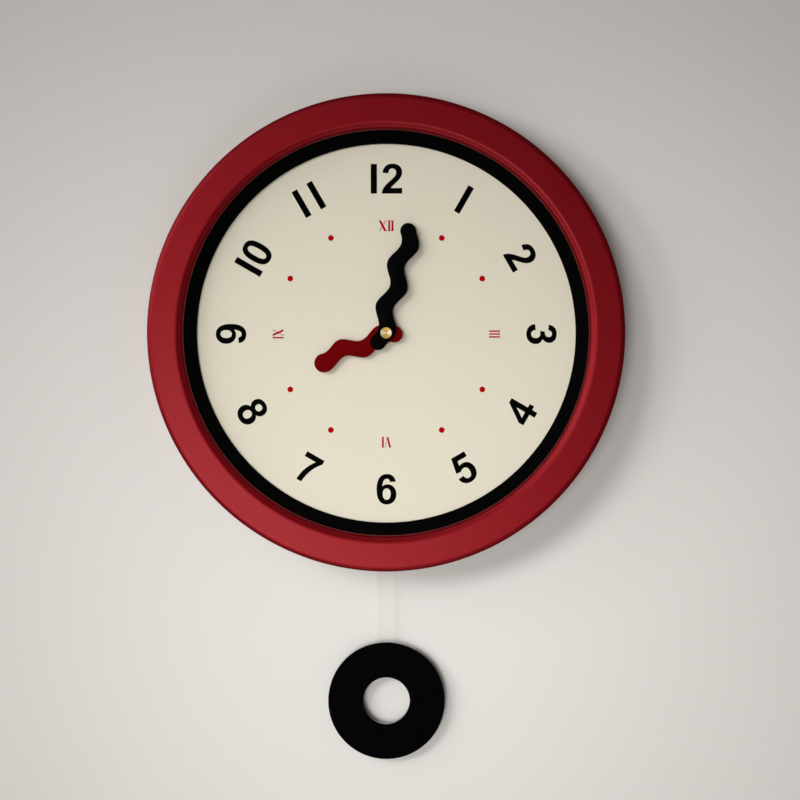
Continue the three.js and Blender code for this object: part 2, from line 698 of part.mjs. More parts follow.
// The knob stands under the motion wheel, so it meets that wheel along the upward direction.
function settingKnob() {
  const points = [];
  for (let i = 0; i < 2 * KNOB.flutes; i += 1) {
    const radius = i % 2 ? KNOB.valley : KNOB.radius;
    points.push(new THREE.Vector2(...polar(radius, placeAngle(i, 2 * KNOB.flutes))));
  }
  const grip = plate(new THREE.Shape(points), MOVEMENT.rear + KNOB.rise, KNOB.thickness);
  const shaftFront = MINUTE_LAYER.rear - MINUTE_LAYER.thickness;
  const shaft = round(KNOB.shaft, MOVEMENT.rear + KNOB.rise - KNOB.thickness / 2, shaftFront, SMALL);
  const upward = Math.PI / 2;
  const wheelPhase = towardsArbor + halfTooth(TEETH.motionWheel);
  const wheelStep = (2 * Math.PI) / TEETH.motionWheel;
  const pastTooth = (wheelPhase + 2 * Math.PI - (upward + Math.PI)) % wheelStep;
  const ratio = TEETH.motionWheel / TEETH.knob;
  const phase = upward + halfTooth(TEETH.knob) + ratio * pastTooth;
  const pinion = gear(TEETH.knob, MINUTE_MODULE, phase, MINUTE_LAYER);
  return moved(join(grip, shaft, pinion), KNOB_AXIS.x, KNOB_AXIS.z);
}
add('setting_knob', settingKnob(), whiteNylon);

function addHand(name, hand, look) {
  const shape = handOutline(hand);
  const bore = new THREE.Path();
  bore.absarc(0, 0, hand.bore, 0, 2 * Math.PI, true);
  shape.holes.push(bore);
  const mesh = add(name, plate(shape, hand.rear, HAND_THICKNESS, 12), look);
  mesh.rotation.y = radians(hand.angle);
}
addHand('hour_hand', HOUR_HAND, darkRedPaint);
addHand('minute_hand', MINUTE_HAND, blackPaint);

add('hand_cap', turned([
  [MINUTE_SHAFT.radius + GAP, CAP.rear],
  [CAP.radius, CAP.rear],
  [CAP.radius, CAP.front + CAP.bevel],
  [CAP.radius - CAP.bevel, CAP.front],
  [0, CAP.front],
  [0, MINUTE_SHAFT.tip - GAP],
  [MINUTE_SHAFT.radius + GAP, MINUTE_SHAFT.tip - GAP],
], MEDIUM), brass);

// ---- the pendulum ----

const armRear = PENDULUM_ARM.front + PENDULUM_ARM.thickness;
const pinHeadFront = armRear + GAP;
add('pivot_pin', moved(turned([
  [0, pinHeadFront + PIVOT_PIN.headHeight],
  [PIVOT_PIN.head, pinHeadFront + PIVOT_PIN.headHeight],
  [PIVOT_PIN.head, pinHeadFront],
  [PIVOT_PIN.radius, pinHeadFront],
  [PIVOT_PIN.radius, PIVOT_PIN.front],
  [0, PIVOT_PIN.front],
], SMALL), 0, PIVOT_PIN.z), steel);

// The arm hangs on the pin, holds the drive magnet in a round pad, and carries the rod on a headed peg.
function pendulumHanger() {
  const { front, half, bottom, thickness, corner } = PENDULUM_ARM;
  const shape = roundedRectangle(-half, half, bottom, PIVOT_PIN.z + half, corner);
  const arm = plate(shape, armRear, thickness, CORNER_STEPS);
  const pad = moved(round(MAGNET.pad, armRear, front, MEDIUM), 0, MAGNET.z);
  const pocket = moved(round(MAGNET.pocket, front + MAGNET.pocketDepth, front - CUT, MEDIUM), 0, MAGNET.z);
  const bore = moved(round(PIVOT_PIN.bore, armRear + CUT, front - CUT, SMALL), 0, PIVOT_PIN.z);
  const headFront = ROD.front + ROD.thickness + GAP;
  const peg = moved(turned([
    [0, headFront + PEG.headHeight],
    [PEG.head, headFront + PEG.headHeight],
    [PEG.head, headFront],
    [ROD.slot - GAP, headFront],
    [ROD.slot - GAP, armRear - CUT],
    [0, armRear - CUT],
  ], SMALL), 0, PEG.z);
  return join(cut(join(arm, pad), pocket, bore), peg);
}
add('pendulum_hanger', pendulumHanger(), blackPlastic);
const magnetFront = PENDULUM_ARM.front + MAGNET.inset;
const magnet = round(MAGNET.radius, magnetFront + MAGNET.thickness, magnetFront, MEDIUM);
add('hanger_magnet', moved(magnet, 0, MAGNET.z), magnetGrey);

const rodShape = roundedRectangle(-ROD.half, ROD.half, ROD.bottom, ROD.top, ROD.corner);
rodShape.holes.push(keyhole(PEG.z, ROD.slot, ROD.eye, ROD.drop));
add('pendulum_rod', plate(rodShape, ROD.front + ROD.thickness, ROD.thickness), clearAcrylic);

const bobFront = BOB.rear - BOB.thickness;
add('bob', moved(turned([
  [BOB.hole, BOB.rear - BOB.edge],
  [BOB.hole + BOB.edge, BOB.rear],
  [BOB.radius - BOB.edge, BOB.rear],
  [BOB.radius, BOB.rear - BOB.edge],
  [BOB.radius, bobFront + BOB.edge],
  [BOB.radius - BOB.edge, bobFront],
  [BOB.hole + BOB.edge, bobFront],
  [BOB.hole, bobFront + BOB.edge],
], FINE), 0, BOB.z), blackPlastic);
const padBottom = ROD.bottom + BOB_PAD.margin;
const padTop = BOB.z + BOB.radius - 2 * BOB_PAD.margin;
const padBox = box(-BOB_PAD.half, BOB_PAD.half, BOB.rear + GAP, ROD.front - GAP, padBottom, padTop);
add('bob_pad', padBox, rubber);

export default clock;
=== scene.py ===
import json
import math

import bmesh
import bpy
from mathutils import Matrix, Vector


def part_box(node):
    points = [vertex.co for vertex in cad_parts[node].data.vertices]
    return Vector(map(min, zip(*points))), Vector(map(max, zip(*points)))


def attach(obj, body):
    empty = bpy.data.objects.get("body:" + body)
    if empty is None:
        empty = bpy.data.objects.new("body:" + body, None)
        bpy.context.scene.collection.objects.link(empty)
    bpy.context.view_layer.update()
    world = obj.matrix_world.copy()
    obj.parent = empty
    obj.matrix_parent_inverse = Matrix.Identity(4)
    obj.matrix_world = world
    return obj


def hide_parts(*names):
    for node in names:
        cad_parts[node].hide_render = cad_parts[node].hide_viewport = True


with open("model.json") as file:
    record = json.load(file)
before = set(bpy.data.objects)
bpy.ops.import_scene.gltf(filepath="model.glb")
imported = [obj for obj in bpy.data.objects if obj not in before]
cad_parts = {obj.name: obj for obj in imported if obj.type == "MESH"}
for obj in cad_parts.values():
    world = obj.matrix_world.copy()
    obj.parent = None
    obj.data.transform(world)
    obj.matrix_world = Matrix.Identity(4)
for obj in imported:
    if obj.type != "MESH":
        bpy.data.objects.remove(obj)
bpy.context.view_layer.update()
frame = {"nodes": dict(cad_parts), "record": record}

# ---- sizes, in metres, worked out from the frame ----
# Depths are y values: the dial faces -Y, and the clock's rear edge is the plane y = 0.

MM = 0.001

RIM_LOW, RIM_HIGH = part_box("front_rim")
RIM_RADIUS = (RIM_HIGH.x - RIM_LOW.x) / 2
RIM_FRONT = RIM_LOW.y
ARBOR_Z = (RIM_LOW.z + RIM_HIGH.z) / 2
LENS_LOW, LENS_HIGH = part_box("lens")
LENS_RADIUS = (LENS_HIGH.x - LENS_LOW.x) / 2
DIAL_LOW, DIAL_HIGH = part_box("dial")
DIAL_RADIUS = (DIAL_HIGH.x - DIAL_LOW.x) / 2
DIAL_FRONT = DIAL_LOW.y
CASE_LOW, CASE_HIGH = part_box("movement_rear_case")
BOB_LOW, BOB_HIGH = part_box("bob")
BOB_RADIUS = (BOB_HIGH.x - BOB_LOW.x) / 2
BOB_Z = (BOB_LOW.z + BOB_HIGH.z) / 2

WINDOW_RADIUS = 127.5 * MM          # the rim's opening
DIAL_VISIBLE = 120.2 * MM           # where the black ring meets the dial
SCREW_CIRCLE = 143.5 * MM
PEG_DROP = 26 * MM                  # from the pendulum's pivot down to the peg that the rod hangs on
SCREW_COUNT = 6
STEPS = 192                         # sides of a large round
SMALL_STEPS = 48

INK = 0.06 * MM                     # thickness of the printed marks
PRINT_Z = ARBOR_Z - 0.48 * MM       # the print sits a little low on the dial
NUMERAL_HEIGHT = 18.75 * MM
NUMERAL_CIRCLE = 98.7 * MM          # radius of the middle of the numerals
NUMERAL_BOLD = 0.11 * MM            # the numerals' strokes grow by this on each side
NUMERAL_SHIFTS = {5: -0.3 * MM, 6: -0.25 * MM, 8: -0.5 * MM, 10: -1.5 * MM}   # uneven placing, outward
ROMAN_HEIGHT = 6.8 * MM
ROMAN_CIRCLE = 68.75 * MM
DOT_CIRCLE = 70.4 * MM
DOT_RADIUS = 1.83 * MM

# Each hand is a wavy bar between two round ends, in millimetres along and across it from the arbor.
# An end is the place of its centre, along and across, and its radius.
MINUTE_HAND = dict(
    angle=15.14, wave=27.7, swing=2.74, shift=1.84, offset=-2.64, half=5.69,
    tail=(-7.03, -3.47, 5.04), tip=(65.85, -3.48, 5.0), bore=1.9,
)
HOUR_HAND = dict(
    angle=249.98, wave=26.17, swing=2.55, shift=3.46, offset=-1.95, half=5.58,
    tail=(-4.58, -2.49, 5.21), tip=(43.72, -4.31, 5.96), bore=3.0,
)
# The rim's face rolls back over arcs: radius in mm, then first and last tilt in degrees off the face.
RIM_OUTER_ROLLS = [(8, 0, 22), (0.55, 22, 90)]
RIM_INNER_ROLLS = [(7.9, 0, 22), (1.4, 22, 5), (2.4, 5, 90)]
HOLD = 0.15 * MM                    # how close to a corner the extra points of a turned profile stand
HAND_BLEND = 8.0                    # each edge eases into its round ends over this length

VIEW_DISTANCE = 1.3                 # from the front of the rim to the camera
VIEW_RIGHT = 8.7 * MM               # the camera stands this far right of the arbor
VIEW_BELOW = 42.4 * MM              # and this far below it
FOCAL_LENGTH = 93.37                # in millimetres, as is the sensor
SENSOR_WIDTH = 36
WALL_GAP = 0.4 * MM                 # from the rim's rear edge to the wall
WALL_SIDE = 3.0                     # half of the wall's width and height
FLOOR_Z = -1.6
LIGHT_CENTRE = (0, 0, -0.15)
LIGHT_DISTANCE = 2.5


# ---- camera ----

def make_camera():
    data = bpy.data.cameras.new("camera")
    data.lens = FOCAL_LENGTH
    data.sensor_width = SENSOR_WIDTH
    data.clip_end = 50
    camera = bpy.data.objects.new("camera", data)
    camera.location = (VIEW_RIGHT, RIM_FRONT - VIEW_DISTANCE, ARBOR_Z - VIEW_BELOW)
    camera.rotation_euler = (math.pi / 2, 0, 0)
    bpy.context.scene.collection.objects.link(camera)
    bpy.context.scene.camera = camera


make_camera()


# ---- materials ----

class Paint:
    """A node material built round one Principled shader."""

    def __init__(self, name, **values):
        self.material = bpy.data.materials.new(name)
        self.material.use_nodes = True
        self.tree = self.material.node_tree
        self.shader = self.tree.nodes["Principled BSDF"]
        for socket, value in values.items():
            self.shader.inputs[socket.replace("_", " ")].default_value = value
        self.place = self.node("ShaderNodeTexCoord").outputs["Object"]

    def node(self, kind, settings=None, **inputs):
        made = self.tree.nodes.new(kind)
        for key, value in (settings or {}).items():
            setattr(made, key, value)
        for key, value in inputs.items():
            self.connect(value, made.inputs[key.replace("_", " ")])
        return made

    def connect(self, value, socket):
        if isinstance(value, bpy.types.NodeSocket):
            self.tree.links.new(value, socket)
        else:
            socket.default_value = value

    def noise(self, scale, detail=3.0, roughness=0.55):
        made = self.node(
            "ShaderNodeTexNoise", Vector=self.place, Scale=scale, Detail=detail, Roughness=roughness,
        )
        return made.outputs["Fac"]

    def cells(self, scale, smoothness=0.4):
        made = self.node(
            "ShaderNodeTexVoronoi", {"feature": "SMOOTH_F1"},
            Vector=self.place, Scale=scale, Smoothness=smoothness,
        )
        return made.outputs["Distance"]

    def spread(self, source, low, high, start=0.3, stop=0.7):
        made = self.node(
            "ShaderNodeMapRange", Value=source, From_Min=start, From_Max=stop, To_Min=low, To_Max=high,
        )
        return made.outputs["Result"]

    def math(self, operation, a, b=0.0, c=0.0):
        made = self.node("ShaderNodeMath", {"operation": operation})
        for value, socket in zip((a, b, c), made.inputs):
            self.connect(value, socket)
        return made.outputs[0]

    def mix(self, factor, a, b):
        made = self.node("ShaderNodeMix", {"data_type": "RGBA"})
        for value, socket in ((factor, 0), (a, 6), (b, 7)):
            self.connect(value, made.inputs[socket])
        return made.outputs[2]

    def color(self, source):
        self.connect(source, self.shader.inputs["Base Color"])

    def roughness(self, source):
        self.connect(source, self.shader.inputs["Roughness"])

    def bump(self, height, strength, distance):
        made = self.node("ShaderNodeBump", Strength=strength, Distance=distance, Height=height)
        self.connect(made.outputs["Normal"], self.shader.inputs["Normal"])

    def axis(self, name):
        return self.node("ShaderNodeSeparateXYZ", Vector=self.place).outputs[name]


def shade(rgb, factor):
    return tuple(min(1.0, channel * factor) for channel in rgb) + (1.0,)


def mottled(name, rgb, rough, grain=900.0, variation=0.12, bump=0.1, depth=0.05 * MM, **values):
    """A finish whose colour, gloss and surface vary a little, as moulded and painted ones do."""
    paint = Paint(name, **values)
    cloud = paint.noise(45.0, 4.0)
    paint.color(paint.mix(cloud, shade(rgb, 1 - variation), shade(rgb, 1 + variation)))
    paint.roughness(paint.spread(paint.noise(160.0, 4.0), rough - 0.06, rough + 0.08))
    paint.bump(paint.noise(grain, 3.0), bump, depth)
    return paint.material


def red_rim_paint():
    """Red satin lacquer over a pebbled, leather-like moulding."""
    paint = Paint("red_rim", Metallic=0.6, Specular_IOR_Level=0.03, Coat_Weight=0.08, Coat_Roughness=0.28)
    cloud = paint.noise(28.0, 4.0)
    fine = paint.noise(1500.0, 2.0)
    pebbles = paint.cells(1000.0)
    red = paint.mix(cloud, (0.162, 0.0028, 0.0058, 1), (0.174, 0.0034, 0.0066, 1))
    worn = paint.spread(fine, 0.0, 0.12, 0.62, 0.75)
    paint.color(paint.mix(worn, red, (0.23, 0.014, 0.018, 1)))
    paint.roughness(paint.spread(paint.noise(420.0, 4.0), 0.40, 0.44))
    height = paint.math("MULTIPLY_ADD", pebbles, 0.8, paint.math("MULTIPLY", fine, 0.35))
    paint.bump(height, 0.5, 0.12 * MM)
    return paint.material


def dial_paper():
    paint = Paint("dial_card", Specular_IOR_Level=0.25)
    cloud = paint.noise(14.0, 5.0)
    paint.color(paint.mix(cloud, (0.84, 0.78, 0.625, 1), (0.88, 0.82, 0.665, 1)))
    paint.roughness(paint.spread(paint.noise(300.0), 0.62, 0.78))
    paint.bump(paint.noise(2600.0, 4.0), 0.08, 0.04 * MM)
    return paint.material


def clear_pane(name, tint, alpha, edge_alpha, rough):
    """Clear plastic: nearly invisible on its faces, darker where its cut edges show."""
    paint = Paint(name, IOR=1.1, Specular_IOR_Level=0.2)
    normal = paint.node("ShaderNodeTexCoord").outputs["Normal"]
    facing = paint.node("ShaderNodeSeparateXYZ", Vector=normal).outputs["Y"]
    edge = paint.spread(paint.math("ABSOLUTE", facing), 1.0, 0.0, 0.3, 0.9)
    haze = paint.spread(paint.noise(60.0, 4.0), 0.85, 1.15)
    clear = paint.math("MULTIPLY", haze, alpha)
    paint.connect(paint.math("MULTIPLY_ADD", edge, edge_alpha, clear), paint.shader.inputs["Alpha"])
    paint.color(paint.mix(edge, shade(tint, 1.0), shade(tint, 0.7)))
    paint.roughness(paint.spread(paint.noise(90.0), rough, rough + 0.06))
    return paint.material


def turned_brass():
    """Polished brass with the fine rings that a lathe leaves."""
    paint = Paint("turned_brass", Metallic=1.0, Anisotropic=0.85)
    x, z = paint.axis("X"), paint.math("SUBTRACT", paint.axis("Z"), ARBOR_Z)
    radius = paint.math("SQRT", paint.math("ADD", paint.math("MULTIPLY", x, x), paint.math("MULTIPLY", z, z)))
    rings = paint.math("SINE", paint.math("MULTIPLY", radius, 60000.0))
    tint = paint.noise(500.0, 2.0)
    paint.color(paint.mix(tint, (0.75, 0.52, 0.2, 1), (0.86, 0.66, 0.32, 1)))
    paint.roughness(paint.spread(rings, 0.16, 0.26, -1.0, 1.0))
    paint.bump(rings, 0.04, 0.01 * MM)
    tangent = paint.node("ShaderNodeTangent", {"direction_type": "RADIAL", "axis": "Y"})
    paint.connect(tangent.outputs["Tangent"], paint.shader.inputs["Tangent"])
    return paint.material


def spun_brass():
    """The cap's brass, with a painted highlight: its colour is lighter and paler in two wedges, one on each
    side, where the turned face glints.
    """
    paint = Paint("spun_brass", Metallic=0.4, Specular_IOR_Level=0.1, Anisotropic=0.4)
    x, z = paint.axis("X"), paint.math("SUBTRACT", paint.axis("Z"), ARBOR_Z)
    across, up = paint.math("MULTIPLY", x, x), paint.math("MULTIPLY", z, z)
    radius = paint.math("SQRT", paint.math("ADD", across, up))
    rings = paint.math("SINE", paint.math("MULTIPLY", radius, 14000.0))
    sideways = paint.math("DIVIDE", across, paint.math("ADD", paint.math("ADD", across, up), 1e-9))
    # painted highlight: the wedges to the left and right of the arbor get a lighter, paler brass colour
    painted_glint_wedge = paint.spread(sideways, 0.0, 1.0, 0.45, 0.95)
    gold = paint.mix(paint.noise(500.0, 2.0), (0.40, 0.235, 0.055, 1), (0.47, 0.30, 0.08, 1))
    paint.color(paint.mix(painted_glint_wedge, gold, (0.62, 0.55, 0.39, 1)))
    paint.roughness(paint.spread(rings, 0.34, 0.46, -1.0, 1.0))
    paint.bump(rings, 0.05, 0.02 * MM)
    tangent = paint.node("ShaderNodeTangent", {"direction_type": "RADIAL", "axis": "Y"})
    paint.connect(tangent.outputs["Tangent"], paint.shader.inputs["Tangent"])
    return paint.material


def plated_steel():
    paint = Paint("plated_steel", Metallic=1.0)
    streaks = paint.node("ShaderNodeMapping", Vector=paint.place, Scale=(3.0, 3.0, 0.12)).outputs[0]
    brushed = paint.node("ShaderNodeTexNoise", Vector=streaks, Scale=900.0, Detail=4.0).outputs["Fac"]
    cloud = paint.noise(220.0, 5.0)
    paint.color(paint.mix(cloud, (0.50, 0.51, 0.52, 1), (0.66, 0.66, 0.65, 1)))
    paint.roughness(paint.spread(brushed, 0.28, 0.44))
    paint.bump(brushed, 0.06, 0.02 * MM)
    return paint.material


def copper_winding():
    """Fine enamelled wire, wound round the piece's own axis."""
    paint = Paint("copper_winding", Metallic=0.9)
    wires = paint.node(
        "ShaderNodeTexWave", {"wave_type": "BANDS", "bands_direction": "X"},
        Vector=paint.place, Scale=900.0, Distortion=0.4,
    ).outputs["Fac"]
    paint.color(paint.mix(wires, (0.28, 0.08, 0.025, 1), (0.72, 0.29, 0.11, 1)))
    paint.roughness(paint.spread(wires, 0.5, 0.3, 0.0, 1.0))
    paint.bump(wires, 0.4, 0.1 * MM)
    return paint.material


def battery_sleeve():
    """A dark printed sleeve with a copper-coloured band at the positive end and bare metal at both ends."""
    paint = Paint("battery_sleeve", Metallic=0.35)
    low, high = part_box("battery")
    along = paint.spread(paint.axis("X"), 0.0, 1.0, low.x, high.x)
    band = paint.math("GREATER_THAN", along, 0.72)
    bare = paint.math("GREATER_THAN", paint.math("ABSOLUTE", paint.math("SUBTRACT", along, 0.485)), 0.478)
    sleeve = paint.mix(band, (0.012, 0.013, 0.016, 1), (0.45, 0.2, 0.07, 1))
    paint.color(paint.mix(bare, sleeve, (0.62, 0.62, 0.6, 1)))
    paint.roughness(paint.spread(paint.noise(200.0), 0.22, 0.34))
    paint.bump(paint.noise(700.0), 0.03, 0.02 * MM)
    return paint.material


def circuit_board_paint():
    paint = Paint("circuit_board")
    tracks = paint.node(
        "ShaderNodeTexBrick", Vector=paint.place, Scale=260.0, Mortar_Size=0.12,
        Color1=(0.01, 0.14, 0.045, 1), Color2=(0.012, 0.18, 0.055, 1), Mortar=(0.03, 0.3, 0.09, 1),
    )
    paint.color(tracks.outputs["Color"])
    paint.roughness(paint.spread(paint.noise(300.0), 0.28, 0.42))
    paint.bump(tracks.outputs["Fac"], 0.2, 0.05 * MM)
    return paint.material


BLACK_BASE = (0.0008, 0.0008, 0.0009)
MATERIALS = {
    "red_rim": red_rim_paint(),
    "lens": clear_pane("lens_clear", (0.05, 0.05, 0.05), 0.008, 0.2, 0.03),
    "black_plastic": mottled("black_plastic", BLACK_BASE, 0.5, Specular_IOR_Level=0.008),
    "dial": dial_paper(),
    "movement_case": mottled(
        "movement_moulding", (0.02, 0.021, 0.023), 0.55, grain=1400.0, bump=0.25, Specular_IOR_Level=0.4,
    ),
    "steel": plated_steel(),
    "battery_jacket": battery_sleeve(),
    "brass": turned_brass(),
    "rubber": mottled("rubber", (0.018, 0.018, 0.018), 0.8, grain=1200.0, bump=0.2),
    "copper": copper_winding(),
    "circuit_board": circuit_board_paint(),
    "nylon": mottled("white_nylon", (0.72, 0.72, 0.68), 0.5, variation=0.05, Subsurface_Weight=0.05),
    "hour_hand_paint": mottled(
        "hour_hand_paint", (0.155, 0.0003, 0.0012), 0.45, grain=1800.0, bump=0.05, Specular_IOR_Level=0.006,
    ),
    "minute_hand_paint": mottled(
        "minute_hand_paint", BLACK_BASE, 0.45, grain=1800.0, bump=0.05, Specular_IOR_Level=0.008,
    ),
    "magnet": mottled("ferrite", (0.05, 0.05, 0.055), 0.6, grain=2200.0, bump=0.3, Metallic=0.4),
    "clear_acrylic": clear_pane("acrylic_clear", (0.86, 0.85, 0.82), 0.05, 0.2, 0.04),
}
SPUN_BRASS_PAINTED_GLINT = spun_brass()
BLACK_INK = mottled("black_ink", (0.0007, 0.0007, 0.0008), 0.6, bump=0.04, Specular_IOR_Level=0.005)
RED_INK = mottled("red_ink", (0.46, 0.0004, 0.004), 0.6, bump=0.04, Specular_IOR_Level=0.005)


# ---- mesh building ----

def arc(x, y, radius, start, stop, steps):
    """Points on a circle, with angles in degrees from the first axis towards the second."""
    angles = [math.radians(start + (stop - start) * i / steps) for i in range(steps + 1)]
    return [(x + radius * math.cos(a), y + radius * math.sin(a)) for a in angles]


def rounded_rectangle(x0, x1, z0, z1, corner, steps=8):
    return (
        arc(x1 - corner, z0 + corner, corner, -90, 0, steps)
        + arc(x1 - corner, z1 - corner, corner, 0, 90, steps)
        + arc(x0 + corner, z1 - corner, corner, 90, 180, steps)
        + arc(x0 + corner, z0 + corner, corner, 180, 270, steps)
    )


def keyhole(z, slot, eye, drop):
    """A slot that takes a shank, with a wider eye below it for a head to pass."""
    opening = math.degrees(math.atan2(math.sqrt(eye * eye - slot * slot), slot))
    return arc(0, z, slot, 0, 180, 16) + arc(0, z - drop, eye, 180 - opening, 360 + opening, 28)


def link(name, mesh, material, smooth=32):
    """An object for a finished mesh, shaded smooth except at its edges."""
    mesh.polygons.foreach_set("use_smooth", [True] * len(mesh.polygons))
    mesh.set_sharp_from_angle(angle=math.radians(smooth))
    mesh.materials.clear()
    mesh.materials.append(material)
    piece = bpy.data.objects.new(name, mesh)
    bpy.context.scene.collection.objects.link(piece)
    return piece


def settle(piece, body, slot, *nodes):
    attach(piece, body)
    if nodes:
        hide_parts(*nodes)
    return piece


def held(profile):
    """The profile with a point close to each end of its long sides, to keep them flat in smooth shading."""
    points = []
    for here, there in zip(profile, profile[1:] + profile[:1]):
        here, there = Vector(here), Vector(there)
        points.append(tuple(here))
        side = there - here
        if side.length > 8 * HOLD and max(here.x, there.x) > 0:
            step = side.normalized() * HOLD
            points += [tuple(here + step), tuple(there - step)]
    return points


def lathe_mesh(profile, steps, x=0.0, z=0.0):
    """A closed body of revolution about Y, from a closed profile of (radius, y).

    A small one starts half a step round, so that its corners miss the edges of the body it is cut from.
    """
    bm = bmesh.new()
    profile = held(profile)
    start = 0.0 if steps == STEPS else 0.5
    turns = [2 * math.pi * (i + start) / steps for i in range(steps)]
    rings = []
    for radius, y in profile:
        if radius < 1e-7:
            rings.append([bm.verts.new((x, y, z))])
        else:
            circle = [(x + radius * math.cos(a), y, z + radius * math.sin(a)) for a in turns]
            rings.append([bm.verts.new(point) for point in circle])
    for here, there in zip(rings, rings[1:] + rings[:1]):
        for i in range(steps):
            corners = [here[i % len(here)], here[(i + 1) % len(here)]]
            corners += [there[(i + 1) % len(there)], there[i % len(there)]]
            face = list(dict.fromkeys(corners))
            if len(face) > 2:
                bm.faces.new(face)
    return finished(bm)


def post_mesh(radius, front, rear, steps, x, z):
    """A plain round bar along Y."""
    return lathe_mesh([(0, front), (radius, front), (radius, rear), (0, rear)], steps, x, z)


def finished(bm):
    bmesh.ops.remove_doubles(bm, verts=bm.verts, dist=1e-7)
    bmesh.ops.recalc_face_normals(bm, faces=bm.faces)
    mesh = bpy.data.meshes.new("mesh")
    bm.to_mesh(mesh)
    bm.free()
    return mesh


def plate_mesh(contours, rear, front, bevel=0.0, bevel_steps=2):
    """A flat plate with rounded edges, cut to contours of (x, z): first its outline and then its holes."""
    curve = bpy.data.curves.new("outline", "CURVE")
    curve.dimensions = "2D"
    curve.fill_mode = "BOTH"
    curve.extrude = (rear - front) / 2 - bevel
    curve.bevel_depth = bevel
    curve.bevel_resolution = bevel_steps - 1
    curve.offset = -bevel
    for contour in contours:
        spline = curve.splines.new("POLY")
        spline.points.add(len(contour) - 1)
        for point, (x, z) in zip(spline.points, contour):
            point.co = (x, z, 0, 1)
        spline.use_cyclic_u = True
    holder = bpy.data.objects.new("outline", curve)
    bpy.context.scene.collection.objects.link(holder)
    mesh = bpy.data.meshes.new_from_object(holder.evaluated_get(bpy.context.evaluated_depsgraph_get()))
    bpy.data.objects.remove(holder)
    mesh.transform(Matrix.Translation((0, (rear + front) / 2, 0)) @ Matrix.Rotation(math.pi / 2, 4, "X"))
    bm = bmesh.new()
    bm.from_mesh(mesh)
    return finished(bm)


def box_mesh(x0, x1, y0, y1, z0, z1):
    bm = bmesh.new()
    bmesh.ops.create_cube(bm, size=1)
    size = Vector((x1 - x0, y1 - y0, z1 - z0))
    centre = Vector((x1 + x0, y1 + y0, z1 + z0)) / 2
    for vertex in bm.verts:
        vertex.co = Vector(a * b for a, b in zip(vertex.co, size)) + centre
    return finished(bm)


def combined(mesh, tools, operation):
    """The mesh with every tool cut out of it, or joined to it."""
    target = bpy.data.objects.new("target", mesh)
    bpy.context.scene.collection.objects.link(target)
    holders = []
    for tool in tools:
        holder = bpy.data.objects.new("tool", tool)
        bpy.context.scene.collection.objects.link(holder)
        holders.append(holder)
        modifier = target.modifiers.new("combine", "BOOLEAN")
        modifier.operation = operation
        modifier.solver = "EXACT"
        modifier.object = holder
    result = bpy.data.meshes.new_from_object(target.evaluated_get(bpy.context.evaluated_depsgraph_get()))
    for holder in [target, *holders]:
        bpy.data.objects.remove(holder)
    return result


def cut(mesh, *tools):
    return combined(mesh, tools, "DIFFERENCE")


def joined(mesh, *tools):
    return combined(mesh, tools, "UNION")


def merged(meshes):
    """Several separate closed bodies as one mesh."""
    bm = bmesh.new()
    for mesh in meshes:
        bm.from_mesh(mesh)
    result = bpy.data.meshes.new("mesh")
    bm.to_mesh(result)
    bm.free()
    return result


def places(count, radius):
    for i in range(count):
        angle = 2 * math.pi * i / count
        yield radius * math.cos(angle), ARBOR_Z + radius * math.sin(angle)


# ---- rim, lens, black ring and back ----

def rolled_edge(x, y, way, rolls):
    """A face's section where it rolls back at its edge: way is 1 for an outer edge, -1 for an inner one."""
    rolls = [(MM * radius, math.radians(start), math.radians(stop)) for radius, start, stop in rolls]
    x -= way * sum(radius * abs(math.sin(stop) - math.sin(start)) for radius, start, stop in rolls)
    points = [(x, y)]
    for radius, start, stop in rolls:
        bend = math.copysign(radius, stop - start)
        for i in range(1, 9):
            tilt = start + (stop - start) * i / 8
            across = bend * (math.sin(tilt) - math.sin(start))
            points.append((x + way * across, y + bend * (math.cos(start) - math.cos(tilt))))
        x, y = points[-1]
    return points


def make_rim():
    front, outer = RIM_FRONT, RIM_RADIUS
    wall, seat, seat_wall = 3 * MM, 134.6 * MM, 2.2 * MM    # the shell's wall and the lens seat
    lens = LENS_LOW.y - 0.3 * MM
    profile = [(outer, 0.0)]
    profile += rolled_edge(outer, front, 1, RIM_OUTER_ROLLS)[::-1]
    profile += rolled_edge(WINDOW_RADIUS, front, -1, RIM_INNER_ROLLS)
    profile += [
        (WINDOW_RADIUS, lens),
        (seat, lens),
        (seat, DIAL_HIGH.y + 0.5 * MM),
        (seat + seat_wall, DIAL_HIGH.y + 0.5 * MM),
        (seat + seat_wall, front + wall),
        (outer - wall, front + wall),
        (outer - wall, 0.0),
    ]
    shell = lathe_mesh(profile, STEPS, z=ARBOR_Z)
    seat_y = -12.3 * MM                                     # where the bosses stop, under the back cover
    bosses, pilots = [], []
    for x, z in places(SCREW_COUNT, SCREW_CIRCLE):
        bosses.append(post_mesh(4 * MM, front + 1.5 * MM, seat_y, 32, x, z))
        pilots.append(post_mesh(1.5 * MM, seat_y - 12 * MM, 0, 24, x, z))
    bottom = ARBOR_Z - outer
    notch = box_mesh(-25 * MM, 25 * MM, -7.5 * MM, 1 * MM, bottom - 5 * MM, bottom + 8 * MM)
    mesh = cut(joined(shell, *bosses), notch, *pilots)
    settle(link("rim", mesh, MATERIALS["red_rim"]), "case", "red_rim", "front_rim")


def make_lens():
    bevel = 0.3 * MM
    front, rear = LENS_LOW.y, LENS_HIGH.y
    profile = [(0, front), (LENS_RADIUS - bevel, front), (LENS_RADIUS, front + bevel)]
    profile += [(LENS_RADIUS, rear - bevel), (LENS_RADIUS - bevel, rear), (0, rear)]
    mesh = lathe_mesh(profile, STEPS, z=ARBOR_Z)
    settle(link("clear_lens", mesh, MATERIALS["lens"]), "case", "lens", "lens")


